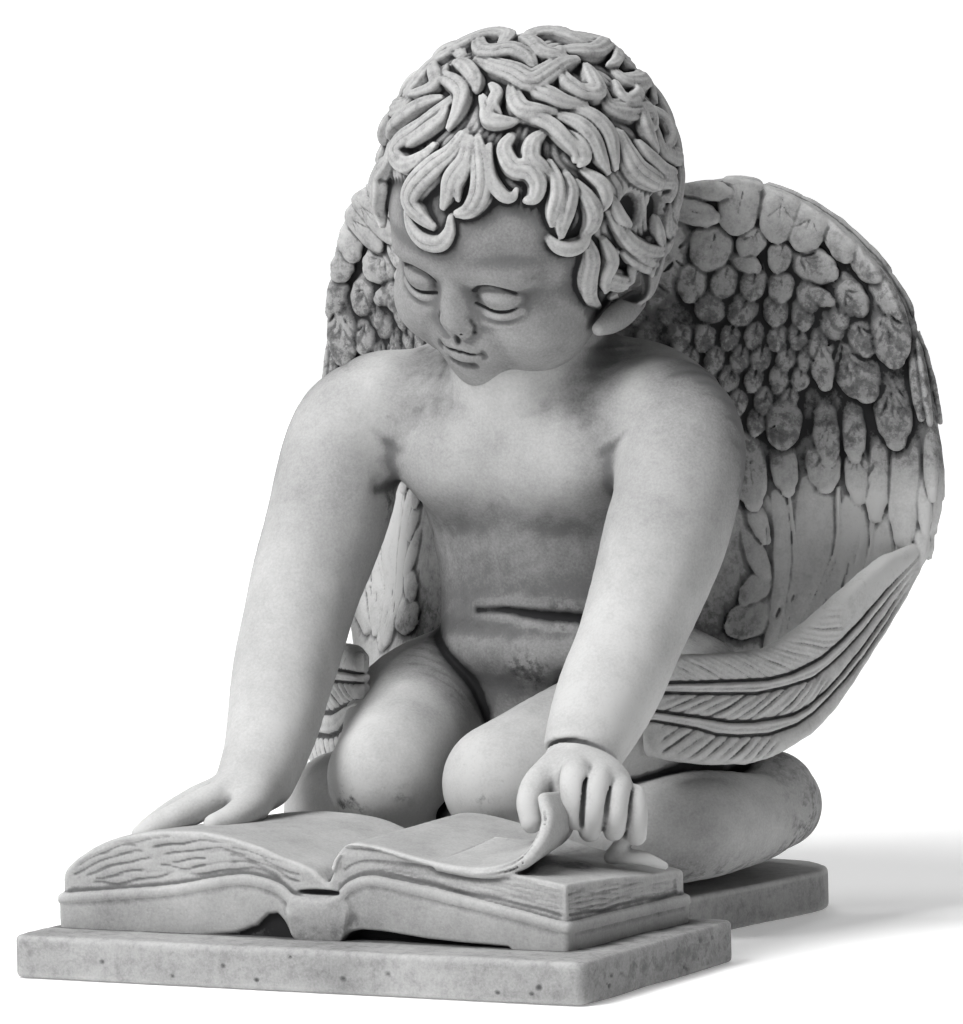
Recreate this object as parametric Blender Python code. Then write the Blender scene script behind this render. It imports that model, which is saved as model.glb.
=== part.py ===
"""Garden statue of cast stone: a winged child kneels on a low slab and reads an open book.

The whole work is one casting, so it is one closed solid.  Lengths are in millimetres of the
design, and the finished casting is brought to its full height, in metres, at the end.
+X is the figure's left side, +Z is up and the figure looks towards -Y.
"""
import bpy
import bmesh
import math
import numpy as np
from mathutils import Matrix, Vector

# ------------------------------------------------------------------ driving dimensions
HEIGHT = 0.394                  # metres, from the underside to the top of the curls

SLAB_TOP = 18.0                 # both base slabs are this thick
FRONT_SLAB = (-133.0, 133.0, -175.0, -31.0)     # x and y reach of the slab under the book
REAR_SLAB_FRONT_X = 70.0        # half width of the rear slab at its front end
REAR_SLAB_BACK_X = 99.0         # half width of the rear slab at its back end
REAR_SLAB_Y = (-60.0, 164.0)
REAR_CORNER = 36.0              # radius of the rear slab's back corners
SLAB_EDGE = 2.4                 # rounding of the slabs' edges

BOOK_Y = (-146.0, -44.0)        # front and back edge of the open book
BOOK_X = (-127.0, 113.0)        # left and right edge of the page block
BOOK_FLARE = 7.0                # the right edge runs outward by this much towards the back
GUTTER_X = 1.0                  # where the two leaves of the book meet

VOXEL = 2.2                     # grain of the casting skin
SMOOTH_ROUNDS = 3
TRIANGLES = 9700                # faces kept on the whole casting

# Stations of the limbs, each x, y, z and radius.
RIGHT_ARM = ((-70, 42, 224, 25), (-81, 35, 212, 27), (-84, 18, 178, 26.5), (-87, 0, 146, 24),
             (-84, -26, 112, 21.5), (-79, -50, 90, 18), (-76, -66, 76, 15.5))
LEFT_ARM = ((68, 44, 222, 25), (80, 36, 209, 27), (82, 12, 173, 26.5), (79, -14, 136, 22.5),
            (78, -36, 113, 21.5), (77, -54, 95, 18), (77, -62, 82, 16))
RIGHT_THIGH = ((-42, -11, 70, 25.5), (-46, 14, 79, 28), (-54, 45, 89, 32), (-50, 84, 90, 38))
LEFT_THIGH = ((17, -16, 70, 26), (30, 12, 79, 28), (48, 42, 88, 32), (50, 84, 90, 38))
RIGHT_SHIN = ((-46, -8, 52, 23), (-71, 16, 47, 23.5), (-83, 44, 48, 23), (-89, 78, 47, 19),
              (-87, 100, 48, 18))
LEFT_SHIN = ((22, -12, 50, 23), (56, 14, 45, 23), (82, 38, 48, 23.5), (90, 76, 47, 19.5),
             (88, 100, 48, 18))
RIGHT_FOOT = ((-86, 100, 53, 21), (-80, 122, 46, 19), (-60, 140, 36, 15), (-42, 146, 31, 10))
LEFT_FOOT = ((88, 100, 53, 21), (82, 122, 46, 19), (62, 140, 36, 15), (44, 146, 31, 10))

# Level sections of the trunk, each x, y, z of the middle, half width and half depth.
TRUNK = ((0, 96, 36, 56, 44), (0, 100, 62, 66, 52), (0, 96, 84, 66, 52), (0, 84, 106, 58, 47),
         (0, 78, 128, 56, 45), (0, 74, 148, 54, 43), (0, 68, 170, 56, 42), (0, 60, 192, 61, 40),
         (0, 52, 212, 68, 34), (0, 46, 228, 62, 27), (2, 42, 241, 42, 21))
BUTTOCKS = ((-30, 116, 78), (30, 116, 78))
BUTTOCK_HALF = (38, 38, 42)
SHOULDERS = ((-46, 48, 227), (46, 48, 225))
SHOULDER_HALF = (42, 24, 20)
NECK = ((2, 56, 222, 38), (3, 43, 246, 35), (8, 36, 278, 37))

# The head: centre of the skull, and how it is turned, bowed and leaned to one side.
SKULL = Vector((8, 30, 309))
SKULL_HALF = Vector((56, 62, 58))
HEAD_TURN = -12.0
HEAD_BOW = 25.0
HEAD_LEAN = 13.0
HAIR_THICKNESS = 8.5
FRINGE_POLAR = 82.0             # no curls in front below this angle from the crown
FACE_HALF_ANGLE = 64.0

# The back wall of a wing as x, z: its outer edge from the root round to the rim, and the
# points of its inner edge that lie across from them.
WING_OUTER = ((24, 302), (36, 315), (50, 320), (66, 321.5), (90, 312), (111, 296.5), (128, 276.5),
              (140.5, 250), (146.5, 224), (149.5, 198), (148, 172), (138, 156))
WING_INNER = ((22, 262), (24, 238), (27, 214), (32, 190), (34, 168), (36, 150), (38, 126),
              (46, 104), (60, 90), (80, 84), (100, 100), (124, 134))
WING_THICKNESS = 8.0
COVERT_ROWS = 5                 # rows of short feathers across the wall
COVERTS_IN_ROW = 11
# How a wing is set: how far its free part is swung forward, and how far its top and its
# lower end are spread.
LEFT_WING_SET = (0.0, 0.0, 0.0)
RIGHT_WING_SET = (25.0, 26.0, 15.0)
# The lower edge of the long feathers, from the rim forward round the hip to the tips.
RIM_EDGE = ((141, 150, 156), (137, 134, 138), (131, 112, 118), (123, 88, 94), (114, 66, 79),
            (102, 45, 73), (90, 26, 74), (76, 9, 79))
LONG_FEATHERS = 3


# ------------------------------------------------------------------ small helpers
def catmull_rom(stations, steps):
    """Points on the smooth curve through all stations, steps points for each span."""
    p = np.array(stations, dtype=float)
    p = np.vstack([2 * p[0] - p[1], p, 2 * p[-1] - p[-2]])
    out = []
    for i in range(1, len(p) - 2):
        for t in np.arange(steps) / steps:
            a = 2 * p[i]
            b = (p[i + 1] - p[i - 1]) * t
            c = (2 * p[i - 1] - 5 * p[i] + 4 * p[i + 1] - p[i + 2]) * t * t
            d = (3 * p[i] - p[i - 1] - 3 * p[i + 1] + p[i + 2]) * t ** 3
            out.append((a + b + c + d) / 2)
    out.append(p[-2])
    return np.array(out)


def round_ends(points):
    """Close both ends of a row of x, y, z, radius with a half ball."""
    start, end = [], []
    for angle in (75, 50, 25):
        reach = math.sin(math.radians(angle))
        thin = math.cos(math.radians(angle))
        for tip, inner, row in ((points[0], points[1], start), (points[-1], points[-2], end)):
            way = tip[:3] - inner[:3]
            way = way / np.linalg.norm(way)
            row.append(np.append(tip[:3] + way * tip[3] * reach, tip[3] * thin))
    return np.vstack([start, points, end[::-1]])


def limb(name, stations, steps=5):
    """A round tapering limb, as a bevelled curve with a radius at every point."""
    points = round_ends(catmull_rom(stations, steps))
    curve = bpy.data.curves.new(name, "CURVE")
    curve.dimensions = "3D"
    curve.bevel_depth = 1.0
    curve.bevel_resolution = 4
    curve.use_fill_caps = True
    spline = curve.splines.new("POLY")
    spline.points.add(len(points) - 1)
    for point, (x, y, z, radius) in zip(spline.points, points):
        point.co = (x, y, z, 1.0)
        point.radius = radius
    ob = bpy.data.objects.new(name, curve)
    bpy.context.collection.objects.link(ob)
    return ob


def mass(name, centre, half, turn=None, rings=14):
    """An ellipsoid with the given half sizes, turned by a matrix where one is given."""
    bm = bmesh.new()
    bmesh.ops.create_uvsphere(bm, u_segments=2 * rings, v_segments=rings, radius=1.0)
    place = Matrix.Translation(Vector(centre)) @ (turn or Matrix()) @ Matrix.Diagonal((*half, 1.0))
    bmesh.ops.transform(bm, matrix=place, verts=bm.verts)
    return mesh_object(name, bm)


def mesh_object(name, bm):
    mesh = bpy.data.meshes.new(name)
    bm.to_mesh(mesh)
    bm.free()
    ob = bpy.data.objects.new(name, mesh)
    bpy.context.collection.objects.link(ob)
    return ob


def prism(name, outline, bottom, top, edge=0.0):
    """A plate of the outline x, y between two heights, its edges rounded by edge."""
    bm = bmesh.new()
    face = bm.faces.new([bm.verts.new((x, y, bottom)) for x, y in outline])
    raised = bmesh.ops.extrude_face_region(bm, geom=[face])
    moved = [v for v in raised["geom"] if isinstance(v, bmesh.types.BMVert)]
    bmesh.ops.translate(bm, verts=moved, vec=(0, 0, top - bottom))
    bmesh.ops.recalc_face_normals(bm, faces=bm.faces)
    if edge:
        upper = [e for e in bm.edges if all(abs(v.co.z - top) < 1e-6 for v in e.verts)]
        bmesh.ops.bevel(bm, geom=upper, offset=edge, segments=3, profile=0.5, affect="EDGES")
    return mesh_object(name, bm)


def arc(cx, cy, radius, first, last, steps=6):
    """Points x, y on a round corner, angles in degrees."""
    angles = np.radians(np.linspace(first, last, steps))
    return [(cx + radius * math.cos(a), cy + radius * math.sin(a)) for a in angles]


def sweep(name, sections):
    """A closed solid through a row of closed sections with as many points each."""
    bm = bmesh.new()
    rings = [[bm.verts.new(p) for p in section] for section in sections]
    count = len(rings[0])
    for one, two in zip(rings, rings[1:]):
        for i in range(count):
            k = (i + 1) % count
            bm.faces.new((one[i], one[k], two[k], two[i]))
    bm.faces.new(rings[0][::-1])
    bm.faces.new(rings[-1])
    bmesh.ops.recalc_face_normals(bm, faces=bm.faces)
    return mesh_object(name, bm)


# ------------------------------------------------------------------ base
def base():
    """Two low slabs that overlap: a wide one under the book, one that flares to the back."""
    x0, x1, y0, y1 = FRONT_SLAB
    r = 7.0
    front = (arc(x0 + r, y0 + r, r, 180, 270) + arc(x1 - r, y0 + r, r, 270, 360)
             + arc(x1 - r, y1 - r, r, 0, 90) + arc(x0 + r, y1 - r, r, 90, 180))
    ya, yb = REAR_SLAB_Y
    c = REAR_CORNER
    rear = ([(-REAR_SLAB_FRONT_X, ya), (REAR_SLAB_FRONT_X, ya)]
            + arc(REAR_SLAB_BACK_X - c, yb - c, c, -8, 90)
            + arc(c - REAR_SLAB_BACK_X, yb - c, c, 90, 188))
    return [prism("front_slab", front, -6.0, SLAB_TOP, SLAB_EDGE),
            prism("rear_slab", rear, -6.0, SLAB_TOP, SLAB_EDGE)]


# ------------------------------------------------------------------ book
def leaf(x, gutter_z, crest_z, edge_z, reach):
    """Height of a bowed leaf at x away from the gutter: steep at the gutter, then a long fall."""
    t = min(max(x / reach, 0.0), 1.0)
    rise = 1.0 - math.exp(-t * 11.0)
    fall = max(0.0, (t - 0.30) / 0.70) ** 1.9
    return gutter_z + (crest_z - gutter_z) * rise - (crest_z - edge_z) * fall


def book_sheet(name, top, bottom, left, right, y0, y1, flare):
    """A bowed layer of the book between two height rules, drawn from front to back."""
    xs = np.linspace(left, right, 49)
    sections = []
    for y in (y0, y1):
        stretch = flare * (y - BOOK_Y[0]) / (BOOK_Y[1] - BOOK_Y[0])
        shifted = [x + max(0.0, x - GUTTER_X) / (right - GUTTER_X) * stretch for x in xs]
        upper = [(s, y, top(x - GUTTER_X)) for s, x in zip(shifted, xs)]
        lower = [(s, y, bottom(x - GUTTER_X)) for s, x in zip(shifted, xs)]
        sections.append(upper + lower[::-1])
    return sweep(name, sections)


def page_top(x):
    if x < 0:
        return leaf(-x, 43, 60, 35, 128)
    return leaf(x, 43, 61, 45, 112)


def cover_top(x):
    if x < 0:
        return leaf(-x, 36, 44, 33, 129)
    return leaf(x, 36, 46, 29.5, 116)


def book():
    """Cover board, bowed page block, one leaf that curls up into the left hand."""
    y0, y1 = BOOK_Y
    left, right = BOOK_X
    board = book_sheet("cover", cover_top, lambda x: cover_top(x) - 9.0,
                       left - 1.5, right + 1.5, y0 - 1.0, y1 + 1.0, BOOK_FLARE)
    stand = book_sheet("cover_core", lambda x: cover_top(x) - 4.0, lambda x: 12.0,
                       left + 4, right - 4, y0 + 5, y1 - 1, BOOK_FLARE)
    pages = book_sheet("pages", page_top, lambda x: cover_top(x) - 3.0,
                       left, right - 1, y0 + 1, y1 - 2, BOOK_FLARE)
    return [board, stand, pages, curled_leaf()]


def curled_leaf():
    """The corner of the top right leaf, lifted between thumb and fingers."""
    run = catmull_rom(((52, 57), (70, 55.5), (84, 58), (91, 66), (92, 76)), 4)
    sections = []
    for y, drop in ((-128, 3.0), (-116, 1.0), (-100, 0.0), (-86, 0.0), (-74, 2.0)):
        upper, lower = [], []
        for i, (x, z) in enumerate(run):
            share = i / (len(run) - 1)
            along = run[min(i + 1, len(run) - 1)] - run[max(i - 1, 0)]
            side = np.array((-along[1], along[0])) / np.linalg.norm(along)
            lift = z - drop * share * 4.0
            upper.append((x + side[0] * 2.4, y, lift + side[1] * 2.4))
            lower.append((x - side[0] * 2.4, y, lift - side[1] * 2.4))
        sections.append(upper + lower[::-1])
    return sweep("curled_leaf", sections)


# ------------------------------------------------------------------ figure
def trunk():
    """The trunk as one swept form, with buttocks, shoulders and neck."""
    sections = []
    for x, y, z, half_width, half_depth in catmull_rom(TRUNK, 3):
        ring = []
        for a in np.radians(np.arange(0, 360, 12)):
            ring.append((x + half_width * math.cos(a), y + half_depth * math.sin(a), z))
        sections.append(ring)
    parts = [sweep("trunk", sections), limb("neck", NECK)]
    for i, (buttock, shoulder) in enumerate(zip(BUTTOCKS, SHOULDERS)):
        parts.append(mass("buttock_%d" % i, buttock, BUTTOCK_HALF))
        parts.append(mass("shoulder_%d" % i, shoulder, SHOULDER_HALF))
    return parts


def arms():
    return [limb("right_arm", RIGHT_ARM), limb("left_arm", LEFT_ARM)]


def legs():
    return [limb("right_thigh", RIGHT_THIGH), limb("left_thigh", LEFT_THIGH),
            limb("right_shin", RIGHT_SHIN), limb("left_shin", LEFT_SHIN),
            limb("right_foot", RIGHT_FOOT), limb("left_foot", LEFT_FOOT),
            prism("seat", [(-78, 10), (78, 10), (84, 120), (40, 150), (-40, 150), (-84, 120)],
                  10, 62)]


def right_hand():
    """A flat hand, palm down on the left leaf, thumb set apart."""
    palm = mass("right_palm", (-82, -82, 66), (19, 17, 9.5), Matrix.Rotation(math.radians(14), 4, "Y"))
    parts = [palm, limb("right_heel_of_hand", ((-76, -66, 76, 15), (-79, -76, 69, 14)))]
    for i in range(4):
        spread = math.radians(200 + 15 * i)
        x, y = -86 + 2 * i, -76 - 7 * i
        way = Vector((math.cos(spread), math.sin(spread), 0))
        parts.append(limb("right_finger_%d" % i,
                          ((x, y, 66, 6.6), (x + way.x * 16, y + way.y * 16, 64, 6.2),
                           (x + way.x * 32, y + way.y * 32, 58, 5.2))))
    parts.append(limb("right_thumb", ((-72, -84, 66, 7.5), (-72, -98, 64, 6.6), (-76, -108, 62, 5.4))))
    return parts


def left_hand():
    """A closed hand that pinches the curled leaf between thumb and first finger."""
    parts = [mass("left_palm", (78, -66, 78), (17, 17, 15))]
    for i in range(4):
        x, y = 76 + 8.0 * i, -84 + 5.0 * i
        parts.append(limb("left_finger_%d" % i,
                          ((x - 2, y + 10, 83 - 2 * i, 6.6), (x + 2, y - 2, 79 - 2 * i, 6.4),
                           (x + 5, y - 5, 68 - 2 * i, 6.0), (x + 3, y + 1, 58 - i, 5.4))))
    parts.append(limb("left_thumb", ((66, -76, 82, 7.5), (63, -88, 76, 7.0), (66, -95, 66, 6.2))))
    return parts


# ------------------------------------------------------------------ head and hair
def head_turn():
    """Rotation of the head: turned to its side, bowed forward, leaned."""
    return (Matrix.Rotation(math.radians(HEAD_TURN), 4, "Z")
            @ Matrix.Rotation(math.radians(HEAD_BOW), 4, "X")
            @ Matrix.Rotation(math.radians(HEAD_LEAN), 4, "Y"))


def on_head(x, y, z):
    return SKULL + head_turn() @ Vector((x, y, z))


def head():
    """A plain child's head: skull, cheeks, small nose, lips and chin, lowered lids."""
    turn = head_turn()
    shapes = (("skull", (0, 6, 6), SKULL_HALF), ("jaw", (0, -12, -24), (46, 44, 38)),
              ("right_cheek", (-24, -30, -28), (24, 22, 22)),
              ("left_cheek", (24, -30, -28), (24, 22, 22)),
              ("brow", (0, -36, 8), (40, 21, 20)), ("chin", (0, -42, -54), (15, 13, 11)),
              ("nose", (0, -53, -17), (5.5, 8, 11)), ("nose_tip", (0, -58, -25), (8, 7, 6)),
              ("upper_lip", (0, -52, -37), (12, 5, 3.6)), ("lower_lip", (0, -50, -43), (9.5, 5, 3.8)),
              ("right_lid", (-20, -47, -8), (11, 7, 6)), ("left_lid", (20, -47, -8), (11, 7, 6)),
              ("right_ear", (-54, 6, -16), (6, 11, 14)), ("left_ear", (54, 6, -16), (6, 11, 14)))
    return [mass(name, on_head(*place), half, turn, 10) for name, place, half in shapes]


def hair():
    """Short thick curls in rings from the crown down, each an S-shaped lock."""
    parts = [mass("hair_cap", on_head(0, 10, 12), SKULL_HALF + Vector((1, 2, 2)), head_turn())]
    rings = ((14, 4), (36, 9), (58, 13), (79, 15), (99, 15), (117, 14), (133, 10))
    for row, (polar, count) in enumerate(rings):
        for k in range(count):
            around = 360.0 * (k + 0.5 * (row % 2)) / count
            from_front = abs((around - 270 + 180) % 360 - 180)
            if polar > FRINGE_POLAR and from_front < FACE_HALF_ANGLE:
                continue
            parts.append(lock("lock_%d_%d" % (row, k), polar, around, row + k))
    return parts


def lock(name, polar, around, number):
    """One S-shaped lock that lies on the cap of hair."""
    swing = 9.0 if number % 2 else -9.0
    stations = []
    for step, radius in ((0, 5.0), (0.35, 7.2), (0.7, 6.6), (1.0, 4.2)):
        down = math.radians(polar - 12 + 26 * step)
        side = math.radians(around + swing * math.sin(step * 2 * math.pi) / max(0.4, math.sin(down)))
        reach = SKULL_HALF + Vector((1, 1, 1)) * (HAIR_THICKNESS - 4.6)
        spot = on_head(reach.x * math.sin(down) * math.cos(side),
                       10 + reach.y * math.sin(down) * math.sin(side), 12 + reach.z * math.cos(down))
        stations.append((*spot, radius))
    return limb(name, stations, 3)


# ------------------------------------------------------------------ wings
def wing(side, pose):
    """One wing: a bowed back wall with rows of feathers, and long feathers that wrap forward.

    side is +1 for the figure's left wing and -1 for its right one.
    """
    sections = []
    for outer, inner in zip(catmull_rom(WING_OUTER, 3), catmull_rom(WING_INNER, 3)):
        front, back = [], []
        for share in np.linspace(0, 1, 19):
            x, z = outer + (inner - outer) * share
            y = wall_depth(x, z)
            front.append(place_wing(side, pose, x, y - WING_THICKNESS / 2, z))
            back.append(place_wing(side, pose, x, y + WING_THICKNESS / 2, z))
        sections.append(front + back[::-1])
    parts = [sweep("wing_wall_%+d" % side, sections)]
    for i in range(LONG_FEATHERS):
        parts.append(long_feather(side, pose, i))
    parts += covert_rows(side, pose)
    root = ((16, 92, 206, 22), (22, 104, 232, 20), (28, 112, 262, 16), (34, 114, 292, 11))
    parts.append(limb("wing_root_%+d" % side,
                      [(*place_wing(side, pose, x, y, z), r) for x, y, z, r in root]))
    return parts


def covert_rows(side, pose):
    """Overlapping short feathers on both faces of the wall, longer row by row."""
    outer = catmull_rom(WING_OUTER, 4)
    inner = catmull_rom(WING_INNER, 4)
    parts = []
    for row in range(COVERT_ROWS):
        across = 0.05 + 0.13 * row
        for k in range(COVERTS_IN_ROW):
            at = 2 + (len(outer) - 9) * (k + 0.5 * (row % 2)) / COVERTS_IN_ROW
            low, part_way = int(at), at % 1.0
            edge = outer[low] * (1 - part_way) + outer[low + 1] * part_way
            root = inner[low] * (1 - part_way) + inner[low + 1] * part_way
            x, z = edge + (root - edge) * across
            pointing = math.atan2(root[1] - edge[1], root[0] - edge[0])
            turn = Matrix.Rotation(-pointing if side > 0 else pointing - math.pi, 4, "Y")
            half = (8.5 + 1.6 * row, 4.0, 6.8)
            for face in (-1, 1):
                y = wall_depth(x, z) + face * (WING_THICKNESS / 2 - 0.5)
                spot = place_wing(side, pose, x, y, z)
                name = "covert_%+d_%d_%d_%+d" % (side, row, k, face)
                parts.append(mass(name, spot, half, turn, 6))
    return parts


def smooth_step(value):
    t = min(max(value, 0.0), 1.0)
    return t * t * (3 - 2 * t)


def wall_depth(x, z):
    """How far back the wall stands at x, z: it bows forward to the spine, less so higher up."""
    bow = 1.0 - 0.55 * smooth_step((z - 180) / 120)
    return 150 - 0.0068 * (150 - x) ** 2 * bow


def place_wing(side, pose, x, y, z):
    """A point of the wing, swung forward and spread at its top and its lower end."""
    forward, top_spread, low_spread = pose
    swing = forward * smooth_step((x - 20) / 60) * smooth_step((y - 20) / 110)
    spread = top_spread * max(0.0, (z - 280) / 42) ** 1.5
    spread += low_spread * smooth_step((150 - z) / 50) * smooth_step((y - 60) / 60)
    return (side * (x + spread), y - swing, z)


def long_feather(side, pose, number):
    """A long feather that starts at the rim and wraps forward round the hip."""
    run = catmull_rom(RIM_EDGE, 4)
    sections = []
    for i, (x, y, z) in enumerate(run):
        share = i / (len(run) - 1)
        opened = smooth_step(share / 0.4)
        centre = z + 3 + 4.5 * opened + number * (6 + 9.5 * opened)
        tall = (6 + 3.5 * opened) * math.sqrt(max(0.05, 1 - max(0.0, (share - 0.82) / 0.19) ** 2))
        along = run[min(i + 1, len(run) - 1)] - run[max(i - 1, 0)]
        side_way = Vector((-along[1], along[0], 0)).normalized()
        ring = []
        for a in np.radians(np.arange(0, 360, 30)):
            flat = 4.6 * math.cos(a)
            ring.append(place_wing(side, pose, x + side_way.x * flat,
                                   y + side_way.y * flat, centre + tall * math.sin(a)))
        sections.append(ring)
    return sweep("long_feather_%+d_%d" % (side, number), sections)


# ------------------------------------------------------------------ casting
def stone():
    mat = bpy.data.materials.new("cast_stone")
    mat.use_nodes = True
    shader = mat.node_tree.nodes["Principled BSDF"]
    shader.inputs["Base Color"].default_value = (0.48, 0.48, 0.47, 1.0)
    shader.inputs["Roughness"].default_value = 0.85
    shader.inputs["Metallic"].default_value = 0.0
    return mat


def gather(parts):
    """Every part's evaluated mesh in one mesh, the parts themselves removed."""
    bpy.context.view_layer.update()
    depsgraph = bpy.context.evaluated_depsgraph_get()
    bm = bmesh.new()
    for ob in parts:
        mesh = bpy.data.meshes.new_from_object(ob.evaluated_get(depsgraph))
        bm.from_mesh(mesh)
    for ob in parts:
        bpy.data.objects.remove(ob)
    bmesh.ops.triangulate(bm, faces=bm.faces)
    return bm


def evaluated_faces(ob):
    depsgraph = bpy.context.evaluated_depsgraph_get()
    return len(ob.evaluated_get(depsgraph).data.polygons)


def fuse(ob):
    """Run all parts together as one skin, soften it and thin its faces out."""
    remesh = ob.modifiers.new("one_skin", "REMESH")
    remesh.mode = "VOXEL"
    remesh.voxel_size = VOXEL
    soften = ob.modifiers.new("soften", "SMOOTH")
    soften.factor = 0.5
    soften.iterations = SMOOTH_ROUNDS
    bpy.context.view_layer.update()
    thin = ob.modifiers.new("thin_out", "DECIMATE")
    thin.ratio = TRIANGLES / (2.0 * evaluated_faces(ob))
    depsgraph = bpy.context.evaluated_depsgraph_get()
    return bpy.data.meshes.new_from_object(ob.evaluated_get(depsgraph))


def keep_largest(bm):
    """Delete every loose shell but the largest, such as the skin of a hollow inside."""
    left = set(bm.verts)
    shells = []
    while left:
        shell = {left.pop()}
        edge_of = list(shell)
        while edge_of:
            v = edge_of.pop()
            for e in v.link_edges:
                w = e.other_vert(v)
                if w not in shell:
                    shell.add(w)
                    edge_of.append(w)
        left -= shell
        shells.append(shell)
    shells.sort(key=len)
    spare = [v for shell in shells[:-1] for v in shell]
    bmesh.ops.delete(bm, geom=spare, context="VERTS")


def flat_underside(bm):
    """Cut the skin level with the ground and close it with one flat face."""
    geom = bm.verts[:] + bm.edges[:] + bm.faces[:]
    bmesh.ops.bisect_plane(bm, geom=geom, plane_co=(0, 0, 0), plane_no=(0, 0, 1), clear_inner=True)
    rim = [e for e in bm.edges if e.is_boundary]
    bmesh.ops.holes_fill(bm, edges=rim, sides=0)
    bmesh.ops.triangulate(bm, faces=bm.faces)
    bmesh.ops.recalc_face_normals(bm, faces=bm.faces)


def true_height_and_origin(bm):
    """Scale to the full height, and put the origin under the middle of the box."""
    points = np.array([v.co for v in bm.verts])
    low, high = points.min(axis=0), points.max(axis=0)
    middle = Vector(((low[0] + high[0]) / 2, (low[1] + high[1]) / 2, low[2]))
    scale = HEIGHT / (high[2] - low[2])
    bmesh.ops.translate(bm, verts=bm.verts, vec=-middle)
    bmesh.ops.scale(bm, verts=bm.verts, vec=Vector((1, 1, 1)) * scale)


def main():
    for ob in list(bpy.data.objects):
        bpy.data.objects.remove(ob)
    parts = base() + book() + trunk() + arms() + legs() + right_hand() + left_hand()
    parts += head() + hair() + wing(1, LEFT_WING_SET) + wing(-1, RIGHT_WING_SET)
    statue = mesh_object("cherub_statue", gather(parts))
    skin = fuse(statue)
    bpy.data.objects.remove(statue)
    bm = bmesh.new()
    bm.from_mesh(skin)
    keep_largest(bm)
    flat_underside(bm)
    true_height_and_origin(bm)
    statue = mesh_object("cherub_statue", bm)
    statue.data.materials.append(stone())
    statue.data.shade_smooth()
    statue.data.set_sharp_from_angle(angle=math.radians(40))


main()
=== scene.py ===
# %% [markdown]
# # A stone cherub who reads a book
# This file is a lesson in cells.  It builds the look of a garden statue cast in stone: a winged
# child on its knees, bent over an open book.  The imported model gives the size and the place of
# the casting, so the lesson starts by loading it and never moves it.

# %% Load the frame
import math
import bpy
import numpy as np
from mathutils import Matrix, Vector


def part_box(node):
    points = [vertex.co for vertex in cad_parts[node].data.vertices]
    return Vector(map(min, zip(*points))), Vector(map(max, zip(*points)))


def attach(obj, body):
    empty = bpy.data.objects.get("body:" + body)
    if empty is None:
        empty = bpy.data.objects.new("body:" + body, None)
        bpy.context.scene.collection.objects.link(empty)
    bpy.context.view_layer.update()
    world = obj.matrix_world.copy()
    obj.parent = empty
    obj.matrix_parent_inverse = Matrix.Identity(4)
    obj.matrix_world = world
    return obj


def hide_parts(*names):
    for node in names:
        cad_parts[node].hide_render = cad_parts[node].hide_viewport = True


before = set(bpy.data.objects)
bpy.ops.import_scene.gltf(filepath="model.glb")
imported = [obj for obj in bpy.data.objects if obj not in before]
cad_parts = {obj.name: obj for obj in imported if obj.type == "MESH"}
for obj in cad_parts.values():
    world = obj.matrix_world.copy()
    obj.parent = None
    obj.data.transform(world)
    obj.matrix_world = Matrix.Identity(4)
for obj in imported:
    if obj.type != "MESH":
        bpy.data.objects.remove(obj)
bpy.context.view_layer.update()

import openvdb
from mathutils import Matrix, Vector

STATUE = "cherub_statue"
box_low, box_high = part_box(STATUE)
print("casting, metres:", [round(v, 4) for v in box_low], [round(v, 4) for v in box_high])

# %% [markdown]
# ## One ruler for every cell
# A sculptor works from a scale drawing.  All lengths below are millimetres of that drawing, which
# is 393.5 high and has its front edge at y = -175, with x counted from the middle of the base.
# One function carries a drawn point into the frame, so the later cells only hold drawn numbers.

# %% From the drawing to the frame
DRAWN_HEIGHT = 393.5
DRAWN_FRONT = -175.0
unit = (box_high[2] - box_low[2]) / DRAWN_HEIGHT
middle_x = (box_low[0] + box_high[0]) / 2


def to_frame(points):
    """Drawn millimetres to metres in the frame, for an array of points or one point."""
    shift = np.array((middle_x, box_low[1] - DRAWN_FRONT * unit, box_low[2]))
    return np.asarray(points, dtype=float) * unit + shift


print("one drawn millimetre is", round(unit * 1000, 4), "mm")

# %% [markdown]
# ## Camera, floor and light
# The statue is seen from its left front, almost level, through a long lens, as a catalogue would
# show it.  A sheet of pale paper that curves up behind it makes the floor and the back in one, and
# large soft lamps leave the hollows dark without hard shadows.

# %% Camera
VIEW_TURN = 27.2                # degrees round to the figure's left
VIEW_RISE = 4.69                # degrees above level
VIEW_ROLL = -1.13
VIEW_AWAY = 3659.0              # drawn millimetres from the point looked at
VIEW_AT = (1.0, 0.0, 184.5)
LENS = 300.0                    # millimetres


def view_axes(turn, rise, roll):
    """Right, up and back of a camera as unit vectors."""
    a, e, r = (math.radians(v) for v in (turn, rise, roll))
    back = Vector((math.sin(a) * math.cos(e), -math.cos(a) * math.cos(e), math.sin(e)))
    right = Vector((math.cos(a), math.sin(a), 0.0))
    up = back.cross(right)
    return right * math.cos(r) + up * math.sin(r), up * math.cos(r) - right * math.sin(r), back


def make_camera():
    right, up, back = view_axes(VIEW_TURN, VIEW_RISE, VIEW_ROLL)
    data = bpy.data.cameras.new("camera")
    data.sensor_width = 36.0
    data.lens = LENS
    data.clip_start = 0.1
    data.clip_end = 100.0
    camera = bpy.data.objects.new("camera", data)
    bpy.context.scene.collection.objects.link(camera)
    place = Matrix((right, up, back)).transposed().to_4x4()
    place.translation = Vector(to_frame(VIEW_AT)) + back * VIEW_AWAY * unit
    camera.matrix_world = place
    bpy.context.scene.camera = camera
    return camera


camera = make_camera()
print("camera at", [round(v, 3) for v in camera.location])

# %% Paper sweep and lamps
FLOOR_GAP = 0.0002              # metres between the underside and the paper, so they don't flicker
PAPER_HALF, PAPER_DEPTH, PAPER_BEND, PAPER_RISE = 12.0, 9.0, 2.0, 6.0
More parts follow.
